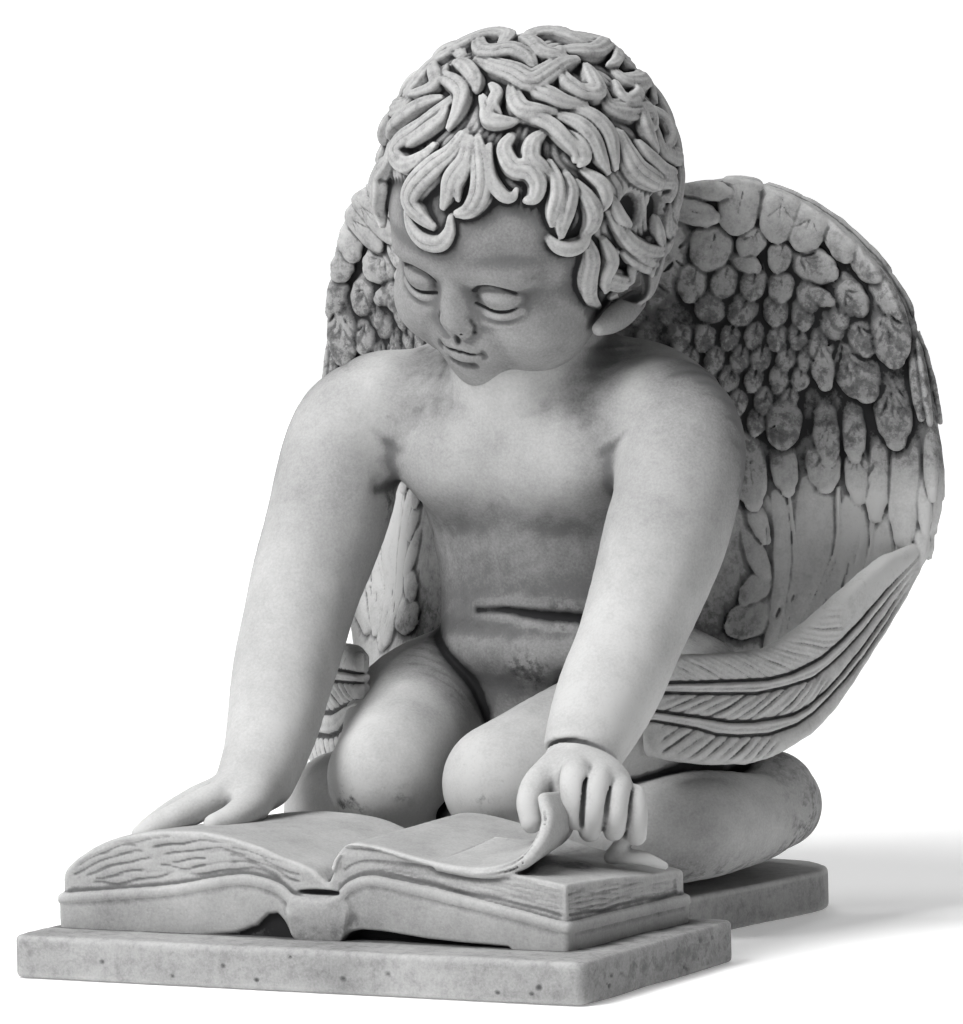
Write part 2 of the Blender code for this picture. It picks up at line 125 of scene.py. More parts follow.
# The paper glows faintly, more towards the back: where the glow starts and ends, and how strong.
PAPER_GLOW = {"From Min": 0.3, "From Max": 2.4, "To Min": 0.2, "To Max": 0.75}
# Each lamp: its name, place in metres, side of its square, and watts.
LAMPS = (("key_lamp", (-0.9, -1.9, 2.4), 1.2, 96.0),
         ("top_lamp", (-0.3, 0.0, 2.8), 1.2, 28.0),
         ("front_lamp", (-0.7, -2.3, 0.7), 0.9, 6.0))
LAMP_AIM = (0, 0, 190)          # drawn millimetres
SKY_STRENGTH = 0.15


def make_sweep():
    """A floor that curves up into a back wall, far behind the statue."""
    floor_z = box_low[2] - FLOOR_GAP
    curve = [(-PAPER_HALF, 0.0)]
    for a in np.radians(np.arange(0, 91, 6)):
        curve.append((PAPER_DEPTH + PAPER_BEND * math.sin(a), PAPER_BEND * (1 - math.cos(a))))
    curve.append((PAPER_DEPTH + PAPER_BEND, PAPER_RISE))
    verts = [(x, y, floor_z + z) for y, z in curve for x in (-PAPER_HALF, PAPER_HALF)]
    faces = [(2 * i, 2 * i + 1, 2 * i + 3, 2 * i + 2) for i in range(len(curve) - 1)]
    mesh = bpy.data.meshes.new("paper_sweep")
    mesh.from_pydata(verts, [], faces)
    mesh.shade_smooth()
    sweep = bpy.data.objects.new("paper_sweep", mesh)
    bpy.context.scene.collection.objects.link(sweep)
    paper = bpy.data.materials.new("pale_paper")
    paper.use_nodes = True
    nodes, links = paper.node_tree.nodes, paper.node_tree.links
    shader = nodes["Principled BSDF"]
    shader.inputs["Base Color"].default_value = (0.90, 0.90, 0.90, 1.0)
    shader.inputs["Roughness"].default_value = 0.9
    shader.inputs["Emission Color"].default_value = (1.0, 1.0, 1.0, 1.0)
    parts = nodes.new("ShaderNodeSeparateXYZ")
    glow = nodes.new("ShaderNodeMapRange")
    links.new(nodes.new("ShaderNodeTexCoord").outputs["Object"], parts.inputs[0])
    links.new(parts.outputs["Y"], glow.inputs["Value"])
    for key, number in PAPER_GLOW.items():
        glow.inputs[key].default_value = number
    links.new(glow.outputs["Result"], shader.inputs["Emission Strength"])
    sweep.data.materials.append(paper)


def make_lamp(name, place, size, power):
    """A square soft lamp that points at the middle of the statue."""
    data = bpy.data.lights.new(name, "AREA")
    data.shape = "SQUARE"
    data.size = size
    data.energy = power
    lamp = bpy.data.objects.new(name, data)
    bpy.context.scene.collection.objects.link(lamp)
    lamp.location = place
    aim = Vector(to_frame(LAMP_AIM)) - lamp.location
    lamp.rotation_euler = aim.to_track_quat("-Z", "Y").to_euler()


def make_world():
    world = bpy.data.worlds.new("studio")
    world.use_nodes = True
    ground = world.node_tree.nodes["Background"]
    ground.inputs["Color"].default_value = (1.0, 1.0, 1.0, 1.0)
    ground.inputs["Strength"].default_value = SKY_STRENGTH
    bpy.context.scene.world = world
    bpy.context.scene.view_settings.view_transform = "Standard"


make_sweep()
for lamp in LAMPS:
    make_lamp(*lamp)
make_world()
print("paper and", len(LAMPS), "lamps")

# %% [markdown]
# ## Clay made of distances
# The real statue was modelled in clay before it was cast.  Clay is easy to imitate with a grid of
# numbers: each point of the grid holds its distance to the nearest surface, negative inside.  To
# press a new lump on, keep the smaller of two distances; to let it melt in, round the change
# over.  Cutting keeps the larger one.  Blender's own volume library then draws the surface.

# %% The clay block
FAR = 30.0
WIDEST_MELT = 14.0              # the most that any rule for melting gives


def melt(one, two, blend):
    """The smaller of two distances, rounded over where they differ by less than blend."""
    if np.isscalar(blend) and blend <= 0:
        return np.minimum(one, two)
    near = np.maximum(blend - np.abs(one - two), 0.0) / blend
    return np.minimum(one, two) - near * near * (blend / 4)


class Clay:
    """A block of stone as a grid of distances in drawn millimetres."""

    def __init__(self, low, high, grain, margin):
        self.low = np.array(low, dtype=float)
        self.grain = grain
        self.margin = margin
        self.count = np.ceil((np.array(high) - self.low) / grain).astype(int) + 1
        self.field = np.full(self.count, FAR, dtype=np.float32)

    def window(self, low, high):
        """The part of the grid between two corners, with its x, y and z as open arrays."""
        first = np.floor((np.array(low) - self.low) / self.grain).astype(int)
        last = np.ceil((np.array(high) - self.low) / self.grain).astype(int) + 1
        first = np.clip(first, 0, self.count)
        last = np.clip(last, 0, self.count)
        cut = tuple(slice(a, b) for a, b in zip(first, last))
        axes = [np.float32(self.low[i] + self.grain * np.arange(first[i], last[i])) for i in range(3)]
        x, y, z = axes
        return cut, (x[:, None, None], y[None, :, None], z[None, None, :])

    def whole(self):
        return self.window(self.low, self.low + (self.count - 1) * self.grain)

    def halo(self, blend):
        """How far beyond a shape its melting can still be felt."""
        return max(self.margin, WIDEST_MELT if callable(blend) else blend)

    def press(self, place, distance, blend, carve=False):
        """Add or carve a distance in one window; blend is a length or a rule of x, y, z."""
        cut, axes = place
        distance = distance.astype(np.float32)
        if callable(blend):
            blend = blend(*axes)
        if carve:
            self.field[cut] = -melt(-self.field[cut], distance, blend)
        else:
            self.field[cut] = melt(self.field[cut], distance, blend)

    def lump(self, centre, half, turn=None, blend=0.0, carve=False):
        """An ellipsoid, turned by a 3 by 3 matrix where one is given."""
        centre, half = np.array(centre, float), np.array(half, float)
        turn = np.identity(3) if turn is None else np.array(turn)
        reach = np.sqrt((turn ** 2 @ half ** 2)) + self.halo(blend)
        cut, axes = self.window(centre - reach, centre + reach)
        x, y, z = (axis - middle for axis, middle in zip(axes, centre))
        near = far = 0.0
        for axis in range(3):
            along = (x * turn[0, axis] + y * turn[1, axis] + z * turn[2, axis]) / half[axis]
            near = near + along ** 2
            far = far + (along / half[axis]) ** 2
        near = np.sqrt(near)
        distance = near * (near - 1.0) / np.maximum(np.sqrt(far), 1e-6)
        self.press((cut, axes), distance, blend, carve)

    def roll(self, points, blend=0.0, carve=False, flat=None):
        """A roll of clay along points of x, y, z, radius; flat squeezes it along a direction."""
        points = np.asarray(points, float)
        halo = self.halo(blend)
        reach = points[:, 3:].max() + halo
        low, high = points[:, :3].min(0) - reach, points[:, :3].max(0) + reach
        cut, axes = self.window(low, high)
        part = np.full([s.stop - s.start for s in cut], FAR, dtype=np.float32)
        for a, b in zip(points, points[1:]):
            reach = max(a[3], b[3]) + halo
            inner, (x, y, z) = self.window(np.minimum(a[:3], b[:3]) - reach,
                                           np.maximum(a[:3], b[:3]) + reach)
            local = tuple(slice(i.start - c.start, i.stop - c.start) for i, c in zip(inner, cut))
            way = b[:3] - a[:3]
            x, y, z = x - a[0], y - a[1], z - a[2]
            t = (x * way[0] + y * way[1] + z * way[2]) / max(way @ way, 1e-9)
            t = np.clip(t, 0.0, 1.0)
            dx, dy, dz = x - t * way[0], y - t * way[1], z - t * way[2]
            gap = dx * dx + dy * dy + dz * dz
            if flat is not None:
                across = dx * flat[0] + dy * flat[1] + dz * flat[2]
                gap = gap + across * across * (flat[3] ** 2 - 1.0)
            distance = np.sqrt(gap) - (a[3] + t * (b[3] - a[3]))
            part[local] = np.minimum(part[local], distance)
        self.press((cut, axes), part, blend, carve)

    def limb(self, stations, steps, blend=0.0, carve=False):
        """A roll along the smooth curve through stations of x, y, z, radius."""
        self.roll(smooth_path(stations, steps), blend, carve)


def smooth_path(points, steps):
    """Points on the smooth curve through all given points, steps to each span."""
    p = np.array(points, dtype=float)
    p = np.vstack([2 * p[0] - p[1], p, 2 * p[-1] - p[-2]])
    out = []
    for i in range(1, len(p) - 2):
        for t in np.arange(steps) / steps:
            out.append((2 * p[i] + (p[i + 1] - p[i - 1]) * t
                        + (2 * p[i - 1] - 5 * p[i] + 4 * p[i + 1] - p[i + 2]) * t * t
                        + (3 * p[i] - p[i - 1] - 3 * p[i + 1] + p[i + 2]) * t ** 3) / 2)
    out.append(p[-2])
    return np.array(out)


def smooth_step(value):
    t = np.clip(value, 0.0, 1.0)
    return t * t * (3 - 2 * t)


# %% From clay to a mesh
MEASURES = (("groove", 1.5), ("hollow", 5.0))   # and how far each looks round, in millimetres


def blurred(field, cells):
    """How much stone there is round each grid point, from 0 to 1, averaged over a small cube."""
    share = np.clip(0.5 - field, 0.0, 1.0)
    for axis in range(3):
        count = share.shape[axis]
        ahead = np.minimum(np.arange(count) + cells, count - 1) + 1
        behind = np.maximum(np.arange(count) - cells, 0)
        nothing = np.zeros_like(np.take(share, [0], axis))
        for _ in range(2):
            run = np.concatenate((nothing, np.cumsum(share, axis=axis, dtype=np.float32)), axis)
            share = (np.take(run, ahead, axis) - np.take(run, behind, axis)) / (2 * cells + 1)
    return np.clip(share, 0.0, 1.0)


def sample(grid, places):
    """Values of a grid at fractional grid places, by weighing the eight neighbours."""
    places = np.clip(places, 0, np.array(grid.shape) - 1.001)
    base = places.astype(int)
    share = places - base
    total = 0.0
    for corner in range(8):
        step = np.array([(corner >> k) & 1 for k in range(3)])
        weight = np.prod(np.where(step, share, 1 - share), axis=1)
        i, j, k = (base + step).T
        total = total + weight * grid[i, j, k]
    return total


def first_skin(clay, starts, step, count):
    """March from each start by step until the clay begins, and return the places met."""
    starts = np.asarray(starts, float)
    found = starts.copy()
    open_air = np.ones(len(starts), bool)
    for k in range(count):
        spot = starts + step * k
        hit = open_air & (sample(clay.field, (spot - clay.low) / clay.grain) < 0)
        found[hit] = spot[hit]
        open_air &= ~hit
    return found


def drawn_surface(clay):
    """Points in drawn millimetres and four-cornered faces on the clay's surface."""
    grid = openvdb.FloatGrid(FAR)
    grid.copyFromArray(clay.field)
    points, _, quads = grid.convertToPolygons(isovalue=0.0, adaptivity=0.0)
    return clay.low + points * clay.grain, quads


def mesh_piece(name, points, quads, faces_wanted):
    """A Blender mesh thinned to about faces_wanted triangles, still in drawn millimetres."""
    mesh = bpy.data.meshes.new(name)
    mesh.vertices.add(len(points))
    mesh.vertices.foreach_set("co", np.asarray(points, np.float32).ravel())
    mesh.loops.add(len(quads) * 4)
    mesh.polygons.add(len(quads))
    mesh.loops.foreach_set("vertex_index", np.asarray(quads[:, ::-1], np.int32).ravel())
    mesh.polygons.foreach_set("loop_start", np.arange(0, len(quads) * 4, 4, dtype=np.int32))
    mesh.update(calc_edges=True)
    piece = bpy.data.objects.new(name, mesh)
    bpy.context.scene.collection.objects.link(piece)
    if len(quads) * 2 > faces_wanted:
        thin = piece.modifiers.new("thin_out", "DECIMATE")
        thin.ratio = faces_wanted / (2.0 * len(quads))
        depsgraph = bpy.context.evaluated_depsgraph_get()
        thinned = bpy.data.meshes.new_from_object(piece.evaluated_get(depsgraph))
        piece.modifiers.clear()
        piece.data = thinned
        bpy.data.meshes.remove(mesh)
        thinned.name = name
    return piece


def mesh_points(piece):
    flat = np.zeros(len(piece.data.vertices) * 3, np.float32)
    piece.data.vertices.foreach_get("co", flat)
    return flat.reshape(-1, 3).astype(float)


def note(piece, label, rule, points):
    """Store a number at every point of the piece: one for all, one each, or a rule of the points."""
    values = rule(points) if callable(rule) else np.full(len(points), rule)
    attribute = piece.data.attributes.new(label, "FLOAT", "POINT")
    attribute.data.foreach_set("value", values.astype(np.float32))


def note_hollows(piece, clay, soil_and_shading, stain):
    """Store, point by point, how deep each spot lies in a groove or a hollow, its soil and stain.

    soil is 0 where rain keeps the stone clean and 1 where grime has settled evenly, and it also
    carries painted shade where it is raised and painted light where it drops below 0; stain is how
    strongly dark blotches show.
    """
    points = mesh_points(piece)
    places = (points - clay.low) / clay.grain
    note(piece, "soil_and_shading", soil_and_shading, points)
    note(piece, "stain", stain, points)
    for label, width in MEASURES:
        cells = max(1, int(round(width / clay.grain)))
        note(piece, label, sample(blurred(clay.field / (2 * clay.grain), cells), places), points)


def set_in_frame(piece, points):
    piece.data.vertices.foreach_set("co", to_frame(points).astype(np.float32).ravel())
    piece.data.update()
    piece.data.shade_smooth()
    piece.data.materials.clear()
    piece.data.materials.append(stone)
    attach(piece, "root")
    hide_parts(STATUE)
    print(piece.name, "has", len(piece.data.polygons), "faces")


def cast(name, clay, faces_wanted, soil_and_shading, stain=0.1):
    """Draw the surface of the clay as a finished piece."""
    points, quads = drawn_surface(clay)
    piece = mesh_piece(name, points, quads, faces_wanted)
    note_hollows(piece, clay, soil_and_shading, stain)
    set_in_frame(piece, mesh_points(piece))
    return piece


# %% [markdown]
# ## The finish of cast stone
# Cast stone is cement and crushed stone: dry, matt and pale grey.  Rain and dust leave it light on
# the ridges and dark in the grooves.  Each mesh carries two measures, groove and hollow: the grooves
# are darkened with dirt and painted shade, the hollows with painted shade, and the soil number adds
# dirt, painted shade and painted light.  The material mixes them with cloudy stains, fine grain and
# a few pits.

# %% Stone material
CLEAN_STONE = (0.53, 0.53, 0.527, 1.0)
# The grey and the black tone stand for dirt and for painted shade alike.
GREY_DIRT_AND_SHADE = (0.155, 0.155, 0.156, 1.0)
BLACK_DIRT_AND_SHADE = (0.016, 0.016, 0.017, 1.0)


def make_stone():
    mat = bpy.data.materials.new("cast_stone")
    mat.use_nodes = True
    nodes, links = mat.node_tree.nodes, mat.node_tree.links
    shader = nodes["Principled BSDF"]
    shader.inputs["Roughness"].default_value = 0.86
    shader.inputs["Specular IOR Level"].default_value = 0.28
    place = nodes.new("ShaderNodeTexCoord").outputs["Object"]

    def noise(scale, detail, rough):
        node = nodes.new("ShaderNodeTexNoise")
        node.inputs["Scale"].default_value = scale
        node.inputs["Detail"].default_value = detail
        node.inputs["Roughness"].default_value = rough
        links.new(place, node.inputs["Vector"])
        return node.outputs["Fac"]

    def measure(label):
        node = nodes.new("ShaderNodeAttribute")
        node.attribute_name = label
        return node.outputs["Fac"]

    def ramp(value, low, high, start, end):
        node = nodes.new("ShaderNodeMapRange")
        for key, number in (("From Min", low), ("From Max", high), ("To Min", start), ("To Max", end)):
            node.inputs[key].default_value = number
        links.new(value, node.inputs["Value"])
        return node.outputs["Result"]

    def sum_of(one, two, kind="ADD"):
        node = nodes.new("ShaderNodeMath")
        node.operation = kind
        links.new(one, node.inputs[0])
        if isinstance(two, float):
            node.inputs[1].default_value = two
        else:
            links.new(two, node.inputs[1])
        return node.outputs[0]

    clouds = ramp(noise(22.0, 5.0, 0.6), 0.3, 0.7, -0.09, 0.09)
    grain = ramp(noise(900.0, 3.0, 0.7), 0.3, 0.7, -0.05, 0.05)
    soil_and_shading = measure("soil_and_shading")
    fine = sum_of(measure("groove"), sum_of(soil_and_shading, 0.02, "MULTIPLY"))
    # Dirt and painted shade in the fine grooves.
    groove_dirt_and_shade = ramp(fine, 0.515, 0.66, 0.0, 0.66)
    deep = sum_of(measure("hollow"), sum_of(soil_and_shading, 0.09, "MULTIPLY"))
    # Painted shade in the hollows.
    shade = ramp(deep, 0.62, 0.84, 0.0, 0.46)
    ridge = ramp(measure("groove"), 0.46, 0.28, 0.0, 0.16)
    dark = sum_of(sum_of(groove_dirt_and_shade, shade), ridge, "SUBTRACT")
    dark = sum_of(sum_of(dark, clouds), grain)
    colour = nodes.new("ShaderNodeValToRGB")
    colour.color_ramp.elements[0].color = CLEAN_STONE
    colour.color_ramp.elements[1].color = BLACK_DIRT_AND_SHADE
    colour.color_ramp.elements.new(0.45).color = GREY_DIRT_AND_SHADE
    stains = ramp(noise(170.0, 6.0, 0.7), 0.47, 0.66, -0.06, 0.34)
    dark = sum_of(dark, sum_of(stains, measure("stain"), "MULTIPLY"))
    # The soil number darkens or lightens the whole tone: dirt, painted shade and painted light.
    dark = sum_of(dark, sum_of(soil_and_shading, 0.13, "MULTIPLY"))
    links.new(sum_of(dark, 0.15), colour.inputs["Fac"])
    links.new(colour.outputs["Color"], shader.inputs["Base Color"])

    pits = nodes.new("ShaderNodeTexVoronoi")
    pits.inputs["Scale"].default_value = 260.0
    links.new(place, pits.inputs["Vector"])
    pit = ramp(pits.outputs["Distance"], 0.10, 0.22, 0.0, 1.0)
    few = ramp(noise(60.0, 2.0, 0.5), 0.52, 0.62, 0.0, 1.0)
    pit = sum_of(pit, few, "MAXIMUM")
    height = sum_of(sum_of(noise(700.0, 4.0, 0.65), 0.35, "MULTIPLY"), sum_of(pit, 0.4, "MULTIPLY"))
    bump = nodes.new("ShaderNodeBump")
    bump.inputs["Strength"].default_value = 0.35
    bump.inputs["Distance"].default_value = 0.0006
    links.new(height, bump.inputs["Height"])
    links.new(bump.outputs["Normal"], shader.inputs["Normal"])
    return mat


stone = make_stone()
print("finish:", stone.name)

# %% [markdown]
# ## The base slabs
# The casting stands on two low slabs, a wide one under the book and one that flares towards the
# back under the legs.  They come out of the same mould, so their edges are soft, small air bubbles
# have left pits in the faces, and here and there an edge is worn.

# %% Outlines and slabs
def outline_distance(outline, x, y):
    """Distance from every x, y of a flat grid to a closed outline, negative inside."""
    points = np.asarray(outline, float)
    x, y = np.broadcast_arrays(x, y)
    nearest = np.full(x.shape, 1e9)
    inside = np.zeros(x.shape, bool)
    for (ax, ay), (bx, by) in zip(points, np.roll(points, -1, axis=0)):
        wx, wy = bx - ax, by - ay
        t = np.clip(((x - ax) * wx + (y - ay) * wy) / max(wx * wx + wy * wy, 1e-12), 0, 1)
        nearest = np.minimum(nearest, (x - ax - t * wx) ** 2 + (y - ay - t * wy) ** 2)
        if ay != by:
            crosses = ((ay > y) != (by > y)) & (x < ax + wx * (y - ay) / wy)
            inside ^= crosses
    return np.where(inside, -1, 1) * np.sqrt(nearest)


def plate(flat, height, round_edge):
    """A plate from a flat distance and a height distance, its edges rounded."""
    a, b = flat + round_edge, height + round_edge
    outside = np.sqrt(np.maximum(a, 0) ** 2 + np.maximum(b, 0) ** 2)
    return outside + np.minimum(np.maximum(a, b), 0) - round_edge


def corner(cx, cy, radius, first, last, steps=8):
    angles = np.radians(np.linspace(first, last, steps))
    return [(cx + radius * math.cos(a), cy + radius * math.sin(a)) for a in angles]


def waves(x, y, z, size, seed):
    """A slow unevenness between -1 and 1, the sum of a few slanted waves."""
    dice = np.random.default_rng(seed)
    total = 0.0
    for _ in range(5):
        way = dice.normal(size=3)
        way *= (2 * math.pi / size) * dice.uniform(0.6, 1.5) / np.linalg.norm(way)
        total = total + np.sin(x * way[0] + y * way[1] + z * way[2] + dice.uniform(0, 6.3))
    return total / 5


SLAB_TOP, SLAB_FRONT, SLAB_SIDE = 18.0, -175.0, 133.0
SLAB_EDGE = 2.2                 # radius of the soft edges
FRONT_PITS, SIDE_PITS, EDGE_CHIPS = 34, 18, 26
BASE_FACES = 26000
front_outline = (corner(-129.5, -170, 5, 180, 270) + corner(129, -171, 4, 270, 360)
                 + corner(128, -36, 5, 0, 90) + corner(-128, -36, 5, 90, 180))
rear_outline = ([(-70, -60), (70, -60)] + corner(63, 128, 36, -8, 90)
                + corner(-63, 128, 36, 90, 188))


def model_base():
    clay = Clay((-137, -179, -4), (137, 168, 23), 0.9, 6.0)
    place = clay.whole()
    x, y, z = place[1]
    height = np.abs(z - SLAB_TOP / 2) - SLAB_TOP / 2
    uneven = 0.35 * waves(x, y, z, 60, 3) + 0.15 * waves(x, y, z, 14, 4)
    for outline in (front_outline, rear_outline):
        flat = outline_distance(outline, x, y)
        clay.press(place, plate(flat, height, SLAB_EDGE) + uneven, 1.0)
    dice = np.random.default_rng(11)
    for _ in range(FRONT_PITS):
        size = dice.uniform(0.4, 1.05)
        across, up = dice.uniform(-128, 128), dice.uniform(2, 17)
        clay.lump((across, SLAB_FRONT - 0.2, up), (size * 1.5, size * 0.9, size), carve=True)
    for _ in range(SIDE_PITS):
        size = dice.uniform(0.4, 1.0)
        spot = (SLAB_SIDE + 0.2, dice.uniform(-170, -40), dice.uniform(2, 17))
        clay.lump(spot, (size * 0.9, size * 1.5, size), carve=True)
    for _ in range(EDGE_CHIPS):
        spot = (dice.uniform(-126, 126), SLAB_FRONT - 0.5, SLAB_TOP + 0.6)
        clay.lump(spot, (dice.uniform(2, 6), 1.5, 1.3), carve=True, blend=0.8)
    clay.field = np.maximum(clay.field, -z)
    return clay


def base_soil_and_shade(points):
    """An even veil of grime, painted shade along the foot of the book, under its arches and on the end face
    at the figure's left, and painted light on the top of the rear slab.
    """
    x, y, z = points.T
    side = 116 + 7 * np.clip((y + 146) / 102, 0, 1)
    # Painted shade on the slab top along the foot of the book and under its arches.
    under = smooth_step((y + 148.5) / 2) * smooth_step((-36 - y) / 6) * smooth_step((side - x) / 3)
    # Painted light: the top of the rear slab is made lighter.
    rear = -1.1 * smooth_step((y + 36) / 6)
    # Painted shade on the end face at the figure's left, which faces away from the key lamp; the rest is an
    # even veil of grime.
    return 0.75 + (1.4 * under + rear) * smooth_step((z - 15) / 2) + 0.6 * smooth_step((x - 128) / 3)


cast("base_slabs", model_base(), BASE_FACES, base_soil_and_shade, 0.25)

# %% [markdown]
# ## The open book
# The book lies open with its pages bowed up on both sides of the gutter.  A cover board as thick as
# a thumb carries them; its rounded lip stands out a little, and it arches up beside the spine, so a
# dark hollow stays under it.  Each layer is a rule for its height across the book.

# %% Layers of the book
def profile(table):
    """A smooth height rule through a table of x and z."""
    path = smooth_path(table, 12)
    return lambda x: np.interp(x, path[:, 0], path[:, 1])


BOOK_FRONT, BOOK_BACK = -146.0, -44.0
BOOK_LEFT, BOOK_RIGHT = -129.0, 112.0
BOOK_FLARE = 7.0
GUTTER = 0.5
page_front = profile(((-129.5, 36.5), (-124, 44), (-112, 52), (-98, 57.5), (-82, 60.0), (-58, 60.6),
                      (-36, 56.5), (-22, 51.8), (-8, 47.3), (-3, 43.5), (0, 42), (2.5, 46), (6, 53),
                      (12, 56.6), (23, 56.3), (38, 53.6), (53, 51), (88, 48.2), (112, 45.0)))
page_back = profile(((-129.5, 35), (-122, 41), (-108, 48.5), (-90, 54.5), (-60, 58.8), (-36, 58),
                     (-22, 55.5), (-8, 50), (-3, 46), (0, 44), (2.5, 47), (6, 54), (12, 58.2),
                     (23, 58.6), (38, 56), (53, 52), (88, 44.5), (112, 40.0)))
cover_line = profile(((-132, 32.2), (-96, 35.7), (-73, 38.3), (-44, 43.6), (-33, 43.6), (-23, 40.8),
                      (-16, 36.2), (-9, 34.6), (0, 34.8), (5.5, 38.2), (12, 43.3), (21, 46),
                      (35, 44.2), (63, 39.2), (88, 34.6), (109, 30.2), (118, 29.6)))
# The hollows under the cover on both sides of the spine, as x and z, and how deep they go.
HOLLOWS = (
    (((-66, 15), (-58, 17.4), (-44, 19.4), (-34, 23), (-28, 28), (-23.5, 28.5), (-20, 25),
      (-16.5, 21), (-10, 18.6), (-6, 15)), 3.2),
    (((-1, 15), (2, 18.6), (8, 21.5), (16, 23), (28, 22.4), (46, 20.4), (63, 19.4),
      (84, 18.8), (88, 15)), 11.0))
SPINE_X, SPINE_HALF = -4.0, 13.0
BOOK_FACES = 70000


def across_book(x, y):
    """x as it would be if the right edge did not run outward to the back."""
    share = np.clip((y - BOOK_FRONT) / (BOOK_BACK - BOOK_FRONT), 0, 1)
    stretch = BOOK_FLARE * share / (BOOK_RIGHT - GUTTER)
    return np.where(x > GUTTER, GUTTER + (x - GUTTER) / (1 + stretch), x), share


def page_height(x, y):
    plain, share = across_book(np.asarray(x, float), np.asarray(y, float))
    share = smooth_step(share)
    return page_front(plain) * (1 - share) + page_back(plain) * share


def both(one, two, blend):
    """What lies inside both shapes, the edge between them rounded."""
    return -melt(-one, -two, blend)


def model_book():
    clay = Clay((-133, -151, 12), (125, -38, 82), 0.7, 5.0)
    place = clay.whole()
    x, y, z = place[1]
    plain, _ = across_book(x + 0 * y, y + 0 * x)
    height = page_height(x + 0 * y, y + 0 * x)
    lean = np.sqrt(1 + np.gradient(height, clay.grain, axis=0) ** 2)
    board = cover_line(plain)
    board_lean = np.sqrt(1 + np.gradient(board, clay.grain, axis=0) ** 2)

    def walls(inset):
        sides = np.maximum(BOOK_LEFT + inset - plain, plain - (BOOK_RIGHT - inset))
        ends = np.maximum(BOOK_FRONT + inset - y, y - (BOOK_BACK - inset))
        return both(sides, ends, 3.0)

    pages = both((z - height) / lean, walls(1.6), 2.0)
    pages = np.maximum(pages, (board - 3 - z) / board_lean)
    lip_middle = (z - (board - 2.6)) / board_lean
    lip = plate(walls(-0.5), np.abs(lip_middle) - 2.6, 2.0)
    batter = 0.1 + 0.05 * np.maximum(board - 8 - z, 0)
    core = both(np.maximum((z - board + 2) / board_lean, 12.0 - z), walls(batter), 2.0)
    uneven = 0.22 * waves(x, y, z, 26, 21) + 0.10 * waves(x, y, z, 8, 22)
    clay.press(place, np.minimum(core, lip) + uneven, 1.2)
    taper = 0.045 * np.maximum(31 - z, 0) ** 1.5
    spine = np.maximum(np.abs(x - SPINE_X) - SPINE_HALF + taper, BOOK_FRONT - 0.8 - y)
    spine = np.maximum(plate(spine, np.abs(z - 24) - 11.5, 8.0), y + 120)
    for hollow, deep in HOLLOWS:
        flat = outline_distance(hollow, x, z)[:, 0, :][:, None, :]
        clay.press(place, both(flat, y - (BOOK_FRONT + deep), 3.0), 1.5, True)
    clay.press(place, spine, 5.0)
    clay.press(place, pages + uneven, 0.4)
    clay.lump((-4.5, BOOK_FRONT, 37.6), (11, 5, 1.5), carve=True, blend=0.8)
    return clay


# %% Page edges, top leaf and the curl
def edge_line(level, wobble, seed):
    """Points along the fore edge: from the gutter to the near right corner and along the side."""
    dice = np.random.default_rng(seed)
    phase = dice.uniform(0, 6, 3)
    points = []
    for x in np.arange(8, 113.1, 3.0):
        low, high = cover_line(x), page_front(x)
        share = level + wobble * (math.sin(x / 9 + phase[0]) + 0.6 * math.sin(x / 4.1 + phase[1]))
        gather = smooth_step((x - 4) / 60)
        if level > 0.5:
            share = 0.5 + (share - 0.5) * gather
        points.append((x, BOOK_FRONT + 1.5, low + (high - low) * share, 0.3 + 0.65 * gather))
    side = []
    for y in np.arange(-141, -50, 4.0):
        _, share_back = across_book(np.array(0.0), np.array(y))
        x = BOOK_RIGHT - 1.5 + BOOK_FLARE * share_back
        low, high = cover_line(112), float(page_height(x, y))
        share = level + 1.6 * wobble * (math.sin(y / 8 + phase[2]) + 0.5 * math.sin(y / 3.7 + phase[0]))
        side.append((x, y, low + (high - low) * share, 0.95))
    return points + side


def left_edge_line(clay, level, seed):
    """A broken line along the left fore edge that follows the bowed pages."""
    dice = np.random.default_rng(seed)
    start = dice.uniform(-124, -112)
    while start < -16:
        stop = min(start + dice.uniform(18, 46), -12)
        points = []
        for x in np.linspace(start, stop, 7):
            low, high = cover_line(x) + 0.5, page_front(x)
            share = level + 0.05 * math.sin(x / 7 + seed) + 0.03 * math.sin(x / 3.1 + 2 * seed)
            points.append((x, BOOK_FRONT + 1.5, low + (high - low) * share, 0.55))
        path = smooth_path(points, 2)
        path[0, 3] = path[-1, 3] = 0.15
        clay.roll(path, carve=True, blend=0.6)
        start = stop + dice.uniform(3, 12)


# Short strokes on the left fore edge, as x and z.
LEFT_STROKES = (
    ((-110, 49.6), (-101, 50.4), (-90, 50.8)), ((-62, 57.4), (-50, 56.6), (-35, 54.0)),
    ((-66, 45.8), (-56, 47.6), (-44, 49.2), (-34, 48.6)), ((-108, 40.2), (-98, 40.8), (-88, 40.2)),
    ((-84, 53.6), (-74, 55.0), (-66, 55.2)), ((-60, 51.8), (-50, 53.2), (-40, 52.4)),
    ((-118, 38.6), (-106, 44.6), (-96, 46.2)), ((-90, 42.6), (-76, 43.8), (-60, 43.2)),
    ((-30, 48.4), (-22, 46.4), (-14, 43.6)), ((-26, 44.6), (-18, 42.8), (-12, 41.6)))


